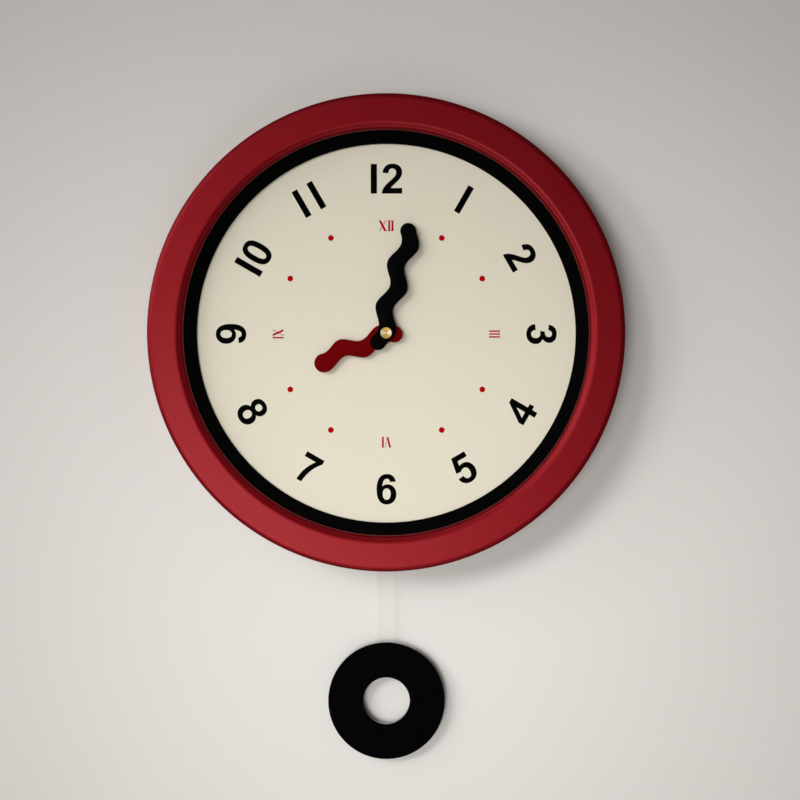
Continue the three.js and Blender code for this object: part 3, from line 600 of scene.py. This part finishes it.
def make_black_ring():
    low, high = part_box("spacer_ring")
    profile = [(LENS_RADIUS, high.y), (LENS_RADIUS, low.y), (WINDOW_RADIUS + 0.4 * MM, low.y)]
    profile += [(WINDOW_RADIUS, low.y + 0.5 * MM), (DIAL_VISIBLE + 2.5 * MM, high.y - 3.5 * MM)]
    profile += arc(DIAL_VISIBLE + 0.8 * MM, high.y - 1.6 * MM, 0.8 * MM, -120, -180, 6)
    profile += [(DIAL_VISIBLE, high.y)]
    mesh = lathe_mesh(profile, STEPS, z=ARBOR_Z)
    settle(link("black_ring", mesh, MATERIALS["black_plastic"]), "case", "black_plastic", "spacer_ring")


def make_dial():
    hole, bevel = 4.3 * MM, 0.15 * MM
    front, rear = DIAL_FRONT, DIAL_HIGH.y
    profile = [(hole, front + bevel), (hole + bevel, front), (DIAL_RADIUS - bevel, front)]
    profile += [(DIAL_RADIUS, front + bevel), (DIAL_RADIUS, rear), (hole, rear)]
    mesh = lathe_mesh(profile, STEPS, z=ARBOR_Z)
    settle(link("dial_card", mesh, MATERIALS["dial"]), "case", "dial", "dial")


def make_back_cover():
    """A moulded disc with stepped rings, a window for the movement, screw wells and two hanger bosses."""
    rear, outer = -9.8 * MM, 146.7 * MM
    front = rear - 2.2 * MM
    rib_front = DIAL_HIGH.y + 0.3 * MM
    profile = [(0, rear), (104 * MM, rear)]
    for radius in (105 * MM, 112 * MM):
        profile += [(radius, rear + 0.6 * MM), (radius + 3 * MM, rear + 0.6 * MM), (radius + 4 * MM, rear)]
    profile += [(outer - 0.6 * MM, rear), (outer, rear - 0.6 * MM), (outer, front), (134 * MM, front)]
    profile += [(134 * MM, rib_front), (131.6 * MM, rib_front), (131.6 * MM, front), (0, front)]
    disc = lathe_mesh(profile, STEPS, z=ARBOR_Z)
    gap = 1 * MM
    window = plate_mesh([rounded_rectangle(
        CASE_LOW.x - gap, CASE_HIGH.x + gap, CASE_LOW.z - gap, CASE_HIGH.z + gap, 5 * MM, 7,
    )], rear + 5 * MM, front - 5 * MM)
    hanger_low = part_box("hanger_plate")[0]
    screw_low, screw_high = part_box("hanger_screw_2")
    top = hanger_low.y - 0.3 * MM
    bosses, wells = [], []
    for side in (-1, 1):
        x, z = side * (screw_low.x + screw_high.x) / 2, (screw_low.z + screw_high.z) / 2
        boss = [(0, front + 0.5 * MM), (5 * MM, front + 0.5 * MM), (5 * MM, rear), (4.4 * MM, top - 0.3 * MM)]
        bosses.append(lathe_mesh(boss + [(4.1 * MM, top), (0, top)], 32, x, z))
        wells.append(post_mesh(1.5 * MM, rear + 0.4 * MM, top + 1 * MM, 24, x, z))
    for x, z in places(SCREW_COUNT, SCREW_CIRCLE):
        wells.append(post_mesh(1.5 * MM, front - 1 * MM, rear + 1 * MM, 24, x, z))
    mesh = cut(joined(disc, *bosses), window, *wells)
    settle(link("back_cover", mesh, MATERIALS["movement_case"]), "case", "black_plastic", "back_plate")


def screw_mesh(node):
    """A pan-head screw with a cross recess and a thread, in the place of a CAD screw."""
    low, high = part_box(node)
    x, z, radius = (low.x + high.x) / 2, (low.z + high.z) / 2, (high.x - low.x) / 2
    top, tip = high.y, low.y
    seat = top - (1.5 if radius < 2.9 * MM else 1.3) * MM
    pitch, core, crest = 1.1 * MM, 0.85 * MM, 1.15 * MM
    profile = [(0, top)] + arc(0.45 * radius, seat + 0.1 * MM, 0.55 * radius, 80, 0, 8)
    profile = [(r, min(y, top)) for r, y in profile] + [(radius, seat), (core, seat)]
    y = seat - 0.5 * MM
    while y - pitch > tip + 1 * MM:
        profile += [(core, y), (crest, y - 0.4 * pitch), (core, y - 0.8 * pitch)]
        y -= pitch
    profile += [(core, tip + 1 * MM), (0, tip)]
    body = lathe_mesh(profile, 32, x, z)
    half, width, deep = 0.55 * radius, 0.13 * radius, 0.7 * MM
    arms = [
        box_mesh(x - half, x + half, top - deep, top + deep, z - width, z + width),
        box_mesh(x - width, x + width, top - deep, top + deep, z - half, z + half),
    ]
    return cut(body, *arms)


def make_screws():
    for node in frame["nodes"]:
        if node.startswith(("case_screw", "hanger_screw")):
            piece = link(node + "_head", screw_mesh(node), MATERIALS["steel"])
            settle(piece, "case", "steel", node)


def make_hanger():
    low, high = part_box("hanger_plate")
    screw_low, screw_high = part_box("hanger_screw_2")
    screw_x, screw_z = (screw_low.x + screw_high.x) / 2, (screw_low.z + screw_high.z) / 2
    outline = rounded_rectangle(low.x, high.x, low.z, high.z, 4 * MM)
    holes = [keyhole(0.0, 2.4 * MM, 4.8 * MM, 9 * MM)]
    holes += [arc(side * screw_x, screw_z, 1.5 * MM, 0, 345, 23) for side in (-1, 1)]
    mesh = plate_mesh([outline, *holes], high.y, low.y, 0.25 * MM)
    settle(link("hanger", mesh, MATERIALS["steel"]), "case", "steel", "hanger_plate")


# ---- printed marks ----
# A digit is 100 high. M starts a contour, L draws a line and C a curve with two handles.

DIGITS = {
    "1": "M -10 0 L 10 0 L 10 99 L -10 99 Z",
    "2": "M -31.2 70.5 C -29 90 -17 100.3 1.5 100.3 C 21 100.3 34 89 34 72.5 C 34 63 30.5 54.5 22 45.5"
         " C 16 39 8 31.5 2.5 26.5 C -1.5 22.8 -3.2 20.5 -4.5 17.6 L 34 17.6 L 34 0 L -34 0"
         " C -33 12 -27.5 21 -17 31.5 C -8 40.5 2 48.5 8 55 C 12.5 60 14.8 65 14.8 71"
         " C 14.8 79.5 9.5 84.8 1 84.8 C -7 84.8 -11.8 79.5 -12.5 68.5 Z",
    "3": "M -31 75 C -28.5 91 -17.5 100.3 0 100.3 C 18.5 100.3 29.5 89.5 29.5 75 C 29.5 66 25 58.5 15.5 53"
         " C 27 49.8 33.5 41 33.5 29 C 33.5 11.5 19.5 -1.7 0 -1.7 C -19 -1.7 -31.5 9.5 -33 27 L -14.5 29.5"
         " C -13.5 19 -8 13.5 0 13.5 C 8.5 13.5 14.3 19.5 14.3 30 C 14.3 40 8.8 46 -0.5 46"
         " C -3.5 46 -6 45.5 -9.5 44.7 L -8 60 C 5 59.7 11 65 11 74 C 11 81.5 6.8 85.5 -0.3 85.5"
         " C -7.5 85.5 -12.3 80.8 -13.5 72.5 Z",
    "4": "M 5.8 0 L 5.8 20.3 L -35.6 20.3 L -35.6 37.5 L 7.5 99.5 L 23.7 99.5 L 23.7 36.3 L 37.3 36.3"
         " L 37.3 20.3 L 23.7 20.3 L 23.7 0 Z M 5.8 70.8 L 5.8 36.3 L -17.5 36.3 Z",
    "5": "M -21 98.5 L 28.8 98.5 L 28.8 81 L -7 81 L -10 62.5 C -5.5 65.2 -0.5 66.5 5 66.5"
         " C 21 66.5 34 53 34 33 C 34 12 19.5 -2 0.5 -2 C -18.5 -2 -31.5 8.5 -33.3 25.5 L -14.3 27.3"
         " C -13.2 18.3 -7.8 12.5 0.3 12.5 C 8.8 12.5 14.5 19.5 14.5 32.5 C 14.5 45 8.8 51.3 -0.3 51.3"
         " C -6 51.3 -11 48.8 -15.3 44 L -30.7 46.5 Z",
    "6": "M 31.3 75.5 C 29 91.5 18 100.3 2.5 100.3 C -20 100.3 -32.5 83 -32.5 48.5 C -32.5 15 -20 -2 1 -2"
         " C 20 -2 33.5 12.5 33.5 32.5 C 33.5 52 20.8 65.3 4 65.3 C -4 65.3 -9.5 62.5 -14 57.5"
         " C -13.3 77 -7.3 85.3 2.3 85.3 C 8.3 85.3 12.2 81.5 13.2 74.2 Z"
         " M 1.2 52.5 C 9.5 52.5 15.3 45 15.3 33 C 15.3 20.5 9.5 12.8 1.2 12.8 C -7.2 12.8 -13 20.5 -13 33"
         " C -13 45 -7.2 52.5 1.2 52.5 Z",
    "7": "M -32.5 98.5 L 33.3 98.5 L 33.3 84.7 C 14 64 1 35 -0.7 0 L -18.3 0 C -17.5 29 -7 59 11.8 81"
         " L -32.5 81 Z",
    "8": "M 0.3 100.8 C 17.5 100.8 29.8 90.5 29.8 75 C 29.8 65.5 25 58 16.5 53.5 C 27.5 49 33.8 40 33.8 28.3"
         " C 33.8 10.5 20 -2 0.3 -2 C -19 -2 -33.2 10.5 -33.2 28.5 C -33.2 40 -27 49 -15.8 53.5"
         " C -24.5 58 -29.5 65.5 -29.5 75 C -29.5 90.5 -17 100.8 0.3 100.8 Z"
         " M 0.3 87 C 7.8 87 12.8 82 12.8 74.5 C 12.8 67 7.8 62 0.3 62 C -7.2 62 -12.2 67 -12.2 74.5"
         " C -12.2 82 -7.2 87 0.3 87 Z"
         " M 0.3 46.5 C 8.8 46.5 14.7 40 14.7 30.3 C 14.7 20.3 8.8 13.8 0.3 13.8"
         " C -8.2 13.8 -14.1 20.3 -14.1 30.3 C -14.1 40 -8.2 46.5 0.3 46.5 Z",
    "0": "M 0 100 C 21.5 100 32 84 32 49.2 C 32 14.5 21.5 -2.3 0 -2.3 C -21.5 -2.3 -32 14.5 -32 49.2"
         " C -32 84 -21.5 100 0 100 Z"
         " M 0 84.5 C 9.5 84.5 13.8 74 13.8 49.2 C 13.8 24.5 9.5 14 0 14 C -9.5 14 -13.8 24.5 -13.8 49.2"
         " C -13.8 74 -9.5 84.5 0 84.5 Z",
}
PAIR_PLACES = {"10": (-36.4, 20.5), "11": (-28.0, 30.0), "12": (-42.2, 19.0)}

# Roman letters with thick and hairline strokes and thin serifs, also 100 high.
ROMAN_I = "M -9 0 L 9 0 L 9 100 L -9 100 Z"
ROMAN_SERIFS = "M -14 0 L 14 0 L 14 4 L -14 4 Z M -14 96 L 14 96 L 14 100 L -14 100 Z"
ROMAN_V = "M -31 100 L -10 100 L 9 18 L 26 100 L 31 100 L 9 0 L -3 0 Z"
ROMAN_X_THICK = "M -37 100 L -14 100 L 38 0 L 15 0 Z"
ROMAN_X_THIN = "M 27 100 L 34 100 L -26 0 L -33 0 Z"
ROMAN_X_SERIFS = "M 22 96 L 38 96 L 38 100 L 22 100 Z M -38 0 L -20 0 L -20 4 L -38 4 Z"
ROMANS = {                          # letter, place and width for each quarter
    12: [("X", -35, 1.0), ("I", 27, 1.0), ("I", 57, 1.0)],
    3: [("I", -27, 0.75), ("I", 0, 0.75), ("I", 27, 0.75)],
    6: [("V", -16, 0.94), ("I", 32, 0.95)],
    9: [("I", -34, 0.8), ("X", 12, 0.88)],
}


def contours_of(path):
    """The closed contours of a path, with each curve drawn as short lines."""
    words, contours, i = path.split(), [], 0
    while i < len(words):
        count = {"M": 2, "L": 2, "C": 6, "Z": 0}[words[i]]
        values = [float(word) for word in words[i + 1:i + 1 + count]]
        if words[i] == "M":
            contours.append([tuple(values)])
        elif words[i] == "L":
            contours[-1].append(tuple(values))
        elif words[i] == "C":
            start = contours[-1][-1]
            points = [start, tuple(values[0:2]), tuple(values[2:4]), tuple(values[4:6])]
            contours[-1] += [bezier(points, step / 10) for step in range(1, 11)]
        i += 1 + count
    return [drop_repeat(contour) for contour in contours]


def bezier(points, t):
    weights = ((1 - t) ** 3, 3 * t * (1 - t) ** 2, 3 * t * t * (1 - t), t ** 3)
    return tuple(sum(w * p[k] for w, p in zip(weights, points)) for k in (0, 1))


def drop_repeat(contour):
    repeats = math.dist(contour[0], contour[-1]) < 1e-6
    return contour[:-1] if repeats else contour


def digit_contours(digit):
    if digit == "9":
        return [[(1 - x, 98.6 - y) for x, y in contour] for contour in contours_of(DIGITS["6"])]
    return contours_of(DIGITS[digit])


def placed(contours, scale, shift, radius, hour, flipped):
    """Contours turned to stand at an hour on a circle, with their tops outward, or inward if flipped."""
    turn = -math.radians(30 * hour)
    result = []
    for contour in contours:
        points = []
        for x, y in contour:
            u, v = (x + shift) * scale, (y - 50) * scale
            if flipped:
                u, v = -u, -v
            v += radius
            z = PRINT_Z + u * math.sin(turn) + v * math.cos(turn)
            points.append((u * math.cos(turn) - v * math.sin(turn), z))
        result.append(points)
    return result


def encloses(contour, point):
    x, y = point
    crossings = 0
    for (x0, y0), (x1, y1) in zip(contour, contour[1:] + contour[:1]):
        if (y0 > y) != (y1 > y) and x < x0 + (y - y0) * (x1 - x0) / (y1 - y0):
            crossings += 1
    return crossings % 2 == 1


def swollen(contours, by):
    """Bolder contours: the outlines move outward and the holes inward."""
    result = []
    for contour in contours:
        area = sum(x0 * y1 - x1 * y0 for (x0, y0), (x1, y1) in zip(contour, contour[1:] + contour[:1]))
        hole = any(encloses(other, contour[0]) for other in contours if other is not contour)
        side = math.copysign(by, area) * (-1 if hole else 1)
        points = []
        for before, here, after in zip(contour[-1:] + contour[:-1], contour, contour[1:] + contour[:1]):
            into = (Vector(here) - Vector(before)).normalized()
            onward = (Vector(after) - Vector(here)).normalized()
            along = (into + onward).normalized()
            reach = side / max(0.6, along.dot(into))
            points.append((here[0] + reach * along.y, here[1] - reach * along.x))
        result.append(points)
    return result


def ink_mesh(contours):
    return plate_mesh(contours, DIAL_FRONT - 0.01 * MM, DIAL_FRONT - 0.01 * MM - INK)


def make_numerals():
    marks = []
    scale = NUMERAL_HEIGHT / 100
    for hour in range(1, 13):
        word = str(hour)
        shifts = PAIR_PLACES.get(word, (0.0,))
        radius = NUMERAL_CIRCLE + NUMERAL_SHIFTS.get(hour, 0.0)
        for digit, shift in zip(word, shifts):
            glyph = placed(digit_contours(digit), scale, shift, radius, hour, 4 <= hour <= 8)
            marks.append(ink_mesh(swollen(glyph, NUMERAL_BOLD)))
    settle(link("numerals", merged(marks), BLACK_INK), "case", "dial")


def make_quarter_marks():
    letters = {
        "I": [ROMAN_I, ROMAN_SERIFS],
        "V": [ROMAN_V],
        "X": [ROMAN_X_THICK, ROMAN_X_THIN, ROMAN_X_SERIFS],
    }
    marks = []
    scale = ROMAN_HEIGHT / 100
    for hour, word in ROMANS.items():
        for letter, shift, width in word:
            for path in letters[letter]:
                for contour in contours_of(path):
                    contour = [(width * x, y) for x, y in contour]
                    marks.append(ink_mesh(placed([contour], scale, shift, ROMAN_CIRCLE, hour, False)))
    whole = joined(marks[0], *marks[1:])
    settle(link("quarter_marks", whole, RED_INK), "case", "dial")


def make_dots():
    marks = []
    for hour in range(12):
        if hour % 3:
            angle = math.radians(30 * hour)
            x, z = DOT_CIRCLE * math.sin(angle), PRINT_Z + DOT_CIRCLE * math.cos(angle)
            marks.append(ink_mesh([arc(x, z, DOT_RADIUS, 0, 350, 35)]))
    settle(link("dial_dots", merged(marks), RED_INK), "case", "dial")


# ---- hands ----

def hand_end(hand, end, start):
    """The points of a hand's round end, from one edge round to the other, as (along, across)."""
    along, across, radius = end
    phase = 2 * math.pi * (along - hand["shift"]) / hand["wave"]
    lean = math.degrees(math.atan(-2 * math.pi * hand["swing"] * math.sin(phase) / hand["wave"]))
    return arc(along, across, radius, lean + start, lean + start - 180, 28)


def hand_edge(hand, side, tail, tip):
    """One edge: the wave moved half a width across, eased into the round ends."""
    def plain(along):
        phase = 2 * math.pi * (along - hand["shift"]) / hand["wave"]
        return hand["offset"] + hand["swing"] * math.cos(phase) + side * hand["half"]

    points, steps = [], 96
    for i in range(steps + 1):
        along = tail[0] + (tip[0] - tail[0]) * i / steps
        near_tail = max(0.0, 1 - (along - tail[0]) / HAND_BLEND) ** 2
        near_tip = max(0.0, 1 - (tip[0] - along) / HAND_BLEND) ** 2
        easing = near_tail * (tail[1] - plain(tail[0])) + near_tip * (tip[1] - plain(tip[0]))
        points.append((along, plain(along) + easing))
    return points


def hand_contour(hand):
    tip = hand_end(hand, hand["tip"], 90)
    tail = hand_end(hand, hand["tail"], -90)
    right = hand_edge(hand, 1, tail[-1], tip[0])
    left = hand_edge(hand, -1, tail[0], tip[-1])
    turn = math.radians(hand["angle"])
    return [
        (MM * (across * math.cos(turn) + along * math.sin(turn)),
         ARBOR_Z + MM * (along * math.cos(turn) - across * math.sin(turn)))
        for along, across in right + tip[1:-1] + left[::-1] + tail[1:-1]
    ]


def make_hand(node, hand, body, slot):
    low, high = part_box(node)
    hole = arc(0, ARBOR_Z, hand["bore"] * MM, 0, 352.5, 47)
    mesh = plate_mesh([hand_contour(hand), hole], high.y, low.y, 0.12 * MM)
    settle(link(node + "_blade", mesh, MATERIALS[slot]), body, slot, node)


def make_cap():
    low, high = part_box("hand_cap")
    radius, bore = (high.x - low.x) / 2, 1.9 * MM
    bevel = 0.45 * MM
    profile = [(0, low.y + 0.12 * MM)]
    profile += [(radius * 0.5, low.y + 0.1 * MM), (radius - bevel, low.y)]
    profile += arc(radius - bevel, low.y + bevel, bevel, -80, 0, 6)
    profile += [(radius, high.y), (bore, high.y), (bore, high.y - 1 * MM), (0, high.y - 1 * MM)]
    mesh = lathe_mesh(profile, 96, z=ARBOR_Z)
    settle(link("brass_cap", mesh, SPUN_BRASS_PAINTED_GLINT, 50), "minute_arbor", "brass", "hand_cap")


# ---- movement, seen from behind ----

def make_movement_back():
    """The rear half of the movement's case, with its battery bay, knob hole and pivot hole."""
    low, high = CASE_LOW, CASE_HIGH
    wall = 1.5 * MM
    battery_low, battery_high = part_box("battery")
    knob_low, knob_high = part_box("setting_knob")
    pin_low, pin_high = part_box("pivot_pin")
    knob_x, knob_z = (knob_low.x + knob_high.x) / 2, (knob_low.z + knob_high.z) / 2
    pin_z = (pin_low.z + pin_high.z) / 2
    outer = plate_mesh([rounded_rectangle(low.x, high.x, low.z, high.z, 4 * MM)], high.y, low.y, 0.5 * MM, 3)
    cavity = plate_mesh([rounded_rectangle(
        low.x + wall, high.x - wall, low.z + wall, high.z - wall, 2.5 * MM,
    )], high.y - wall, low.y - 1 * MM)
    bay_low, bay_high = battery_low.z - 0.6 * MM, battery_high.z + 0.6 * MM
    shelf = box_mesh(
        low.x + wall / 2, high.x - wall / 2, low.y, high.y - 0.6 * MM, bay_low - 1.2 * MM, bay_low,
    )
    cut_front, cut_rear = high.y - 3 * MM, high.y + 1 * MM
    bay_outline = rounded_rectangle(-25.6 * MM, 25.6 * MM, bay_low, bay_high, 1 * MM)
    bay = plate_mesh([bay_outline], cut_rear, cut_front)
    knob_hole = post_mesh(1.6 * MM, cut_front, cut_rear, 24, knob_x, knob_z)
    pin_hole = post_mesh(1.3 * MM, cut_front, cut_rear, 24, 0, pin_z)
    grooves = []
    for i in range(5):
        z = low.z + 6 * MM + i * 2.4 * MM
        for x0, x1 in ((-24 * MM, -9 * MM), (9 * MM, 24 * MM)):
            grooves.append(box_mesh(x0, x1, high.y - 0.5 * MM, high.y + 1 * MM, z, z + 1.1 * MM))
    mesh = cut(joined(cut(outer, cavity), shelf), bay, knob_hole, pin_hole, *grooves)
    piece = link("movement_back", mesh, MATERIALS["movement_case"])
    settle(piece, "case", "movement_case", "movement_rear_case")


def make_battery():
    low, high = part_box("battery")
    radius, y, z = (high.z - low.z) / 2, (low.y + high.y) / 2, (low.z + high.z) / 2
    nub = 1.2 * MM
    end = high.x - nub
    profile = [(0, low.x + 0.3 * MM), (4 * MM, low.x + 0.3 * MM), (4.3 * MM, low.x), (radius - 1 * MM, low.x)]
    profile += arc(radius - 0.8 * MM, low.x + 0.8 * MM, 0.8 * MM, -90, 0, 6)
    profile += arc(radius - 0.8 * MM, end - 0.8 * MM, 0.8 * MM, 0, 90, 6)
    profile += [(2.9 * MM, end), (2.6 * MM, end + 0.2 * MM), (2.6 * MM, high.x - 0.3 * MM)]
    profile += [(2.3 * MM, high.x), (0, high.x)]
    mesh = lathe_mesh(profile, 64)
    mesh.transform(Matrix.Translation((0, y, z)) @ Matrix.Rotation(-math.pi / 2, 4, "Z"))
    settle(link("battery_cell", mesh, MATERIALS["battery_jacket"]), "case", "battery_jacket", "battery")


def make_knob():
    """A fluted wheel with a dished face, on its shaft."""
    low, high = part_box("setting_knob")
    x, z, radius = (low.x + high.x) / 2, (low.z + high.z) / 2, (high.x - low.x) / 2
    flutes, front = 30, high.y - 2.5 * MM
    rim = []
    for i in range(8 * flutes):
        angle = 2 * math.pi * i / (8 * flutes)
        r = radius - 0.35 * MM * (1 - abs(math.cos(flutes * angle / 2)))
        rim.append((x + r * math.cos(angle), z + r * math.sin(angle)))
    wheel = plate_mesh([rim], high.y, front, 0.3 * MM)
    dish = lathe_mesh([(0, high.y - 0.8 * MM), (0.5 * radius, high.y - 0.8 * MM), (0.72 * radius, high.y),
                       (0.72 * radius, high.y + 1 * MM), (0, high.y + 1 * MM)], SMALL_STEPS, x, z)
    shaft = post_mesh(1.2 * MM, low.y, front + 1 * MM, 24, x, z)
    mesh = joined(cut(wheel, dish), shaft)
    settle(link("time_knob", mesh, MATERIALS["nylon"]), "knob", "nylon", "setting_knob")


# ---- pendulum ----

def make_pendulum_arm():
    low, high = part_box("pendulum_hanger")
    magnet_low, magnet_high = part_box("hanger_magnet")
    pin_low, pin_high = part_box("pivot_pin")
    rod_low, rod_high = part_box("pendulum_rod")
    pin_z, magnet_z = (pin_low.z + pin_high.z) / 2, (magnet_low.z + magnet_high.z) / 2
    front, rear = low.y, rod_low.y - 0.3 * MM
    half, peg_z = 3.5 * MM, pin_z - PEG_DROP
    bore = arc(0, pin_z, 1.3 * MM, 0, 345, 23)
    outline = rounded_rectangle(-half, half, low.z, high.z, half - 0.1 * MM)
    arm = plate_mesh([outline, bore], rear, front, 0.3 * MM)
    profile = [(0, front), (6.2 * MM, front), (6.5 * MM, front + 0.3 * MM)]
    profile += [(6.5 * MM, rear - 0.3 * MM), (6.2 * MM, rear), (0, rear)]
    pad = lathe_mesh(profile, SMALL_STEPS, 0, magnet_z)
    pocket = post_mesh(4.3 * MM, front - 1 * MM, front + 2 * MM, SMALL_STEPS, 0, magnet_z)
    neck = rod_high.y + 0.3 * MM
    peg = lathe_mesh([(0, rear - 1 * MM), (1.9 * MM, rear - 1 * MM), (1.9 * MM, neck), (2.9 * MM, neck),
                      (2.9 * MM, high.y - 0.3 * MM), (2.5 * MM, high.y), (0, high.y)], 32, 0, peg_z)
    mesh = cut(joined(arm, pad, peg), pocket)
    piece = link("pendulum_arm", mesh, MATERIALS["movement_case"])
    settle(piece, "pendulum", "movement_case", "pendulum_hanger")


def make_rod():
    low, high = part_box("pendulum_rod")
    pin_low, pin_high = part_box("pivot_pin")
    peg_z = (pin_low.z + pin_high.z) / 2 - PEG_DROP
    outline = rounded_rectangle(low.x, high.x, low.z, high.z, 2 * MM)
    mesh = plate_mesh([outline, keyhole(peg_z, 2.2 * MM, 3.5 * MM, 6.5 * MM)], high.y, low.y, 0.15 * MM)
    settle(link("clear_rod", mesh, MATERIALS["clear_acrylic"]), "pendulum", "clear_acrylic", "pendulum_rod")


def make_bob():
    hole, bevel = 15 * MM, 0.5 * MM
    low, high = BOB_LOW, BOB_HIGH
    profile = arc(BOB_RADIUS - bevel, low.y + bevel, bevel, -90, 0, 5)
    profile += arc(BOB_RADIUS - bevel, high.y - bevel, bevel, 0, 90, 5)
    profile += arc(hole + bevel, high.y - bevel, bevel, 90, 180, 5)
    profile += arc(hole + bevel, low.y + bevel, bevel, 180, 270, 5)
    mesh = lathe_mesh(profile, STEPS, z=BOB_Z)
    settle(link("ring_bob", mesh, MATERIALS["black_plastic"]), "pendulum", "black_plastic", "bob")


# ---- stage ----

def sheet_mesh(name, corners):
    mesh = bpy.data.meshes.new(name)
    mesh.from_pydata(corners, [], [(0, 1, 2, 3)])
    return mesh


def make_stage():
    """A pale wall that can be seen through from behind, and a floor far below."""
    paint = Paint("wall_paint", Roughness=0.9, Specular_IOR_Level=0.1)
    cloud = paint.noise(1.3, 3.0)
    paint.color(paint.mix(cloud, (0.815, 0.79, 0.75, 1), (0.835, 0.81, 0.77, 1)))
    clear = paint.node("ShaderNodeBsdfTransparent").outputs[0]
    behind = paint.node("ShaderNodeNewGeometry").outputs["Backfacing"]
    choice = paint.tree.nodes.new("ShaderNodeMixShader")
    paint.connect(behind, choice.inputs[0])
    paint.connect(paint.shader.outputs[0], choice.inputs[1])
    paint.connect(clear, choice.inputs[2])
    paint.connect(choice.outputs[0], paint.tree.nodes["Material Output"].inputs["Surface"])
    side, y = WALL_SIDE, WALL_GAP
    wall = link("wall", sheet_mesh(
        "wall", [(-side, y, -side), (side, y, -side), (side, y, side), (-side, y, side)],
    ), paint.material)
    wall.visible_shadow = False
    floor_paint = mottled("floor_paint", (0.75, 0.74, 0.71), 0.7, grain=40.0)
    deep, z = 2 * side, FLOOR_Z
    floor = link("floor", sheet_mesh(
        "floor", [(-side, -deep, z), (side, -deep, z), (side, deep, z), (-side, deep, z)],
    ), floor_paint)


def light_at(name, kind, tilt, turn, target, power):
    """A light at LIGHT_DISTANCE, tilted off the wall's normal and turned clockwise from the right."""
    data = bpy.data.lights.new(name, kind)
    data.energy = power
    tilt, turn = math.radians(tilt), math.radians(turn)
    way = Vector((math.sin(tilt) * math.cos(turn), -math.cos(tilt), -math.sin(tilt) * math.sin(turn)))
    light = bpy.data.objects.new(name, data)
    light.location = Vector(LIGHT_CENTRE) + LIGHT_DISTANCE * way
    light.rotation_euler = (Vector(target) - light.location).to_track_quat("-Z", "Y").to_euler()
    bpy.context.scene.collection.objects.link(light)
    return data


def soft_box(name, tilt, turn, power, size=0.9):
    data = light_at(name, "AREA", tilt, turn, LIGHT_CENTRE, power)
    data.shape = "DISK"
    data.size = size


def pool_light(name, tilt, turn, target, reach, power, softness, blend):
    """A spotlight whose pool fades out at a reach from its target."""
    data = light_at(name, "SPOT", tilt, turn, target, power)
    data.spot_size = 2 * math.atan(reach / LIGHT_DISTANCE)
    data.spot_blend = blend
    data.shadow_soft_size = softness


def make_lights():
    middle, low = (0.03, 0, -0.21), (-0.01, 0, -0.35)
    pool_light("front_pool", 12, 135, low, 0.57, 124, 0.4, 1.0)
    pool_light("key_pool", 28, 207, middle, 0.48, 64, 0.35, 0.8)
    pool_light("side_pool", 40, 190, middle, 0.46, 48, 0.35, 0.7)
    soft_box("side_box", 58, 205, 5.5)
    soft_box("low_box", 28, 90, 4.0)
    soft_box("high_box", 28, 235, 3.2)
    soft_box("rear_box", 180, 0, 26, size=0.5)
    world = bpy.data.worlds.new("world")
    world.use_nodes = True
    background = world.node_tree.nodes["Background"]
    background.inputs["Color"].default_value = (1.0, 0.96, 0.92, 1)
    background.inputs["Strength"].default_value = 0.11
    bpy.context.scene.world = world


# ---- everything, in order ----

make_rim()
make_lens()
make_black_ring()
make_dial()
make_back_cover()
make_screws()
make_hanger()
make_numerals()
make_quarter_marks()
make_dots()
make_hand("hour_hand", HOUR_HAND, "hour_arbor", "hour_hand_paint")
make_hand("minute_hand", MINUTE_HAND, "minute_arbor", "minute_hand_paint")
make_cap()
make_movement_back()
make_battery()
make_knob()
make_pendulum_arm()
make_rod()
make_bob()

slot_of = {row["node"]: row["material_slot"] for row in frame["record"]["subparts"]}
for name, cad_node in frame["nodes"].items():
    cad_node.data.materials.clear()
    cad_node.data.materials.append(MATERIALS[slot_of[name]])

make_stage()
make_lights()
bpy.context.scene.view_settings.view_transform = "Standard"
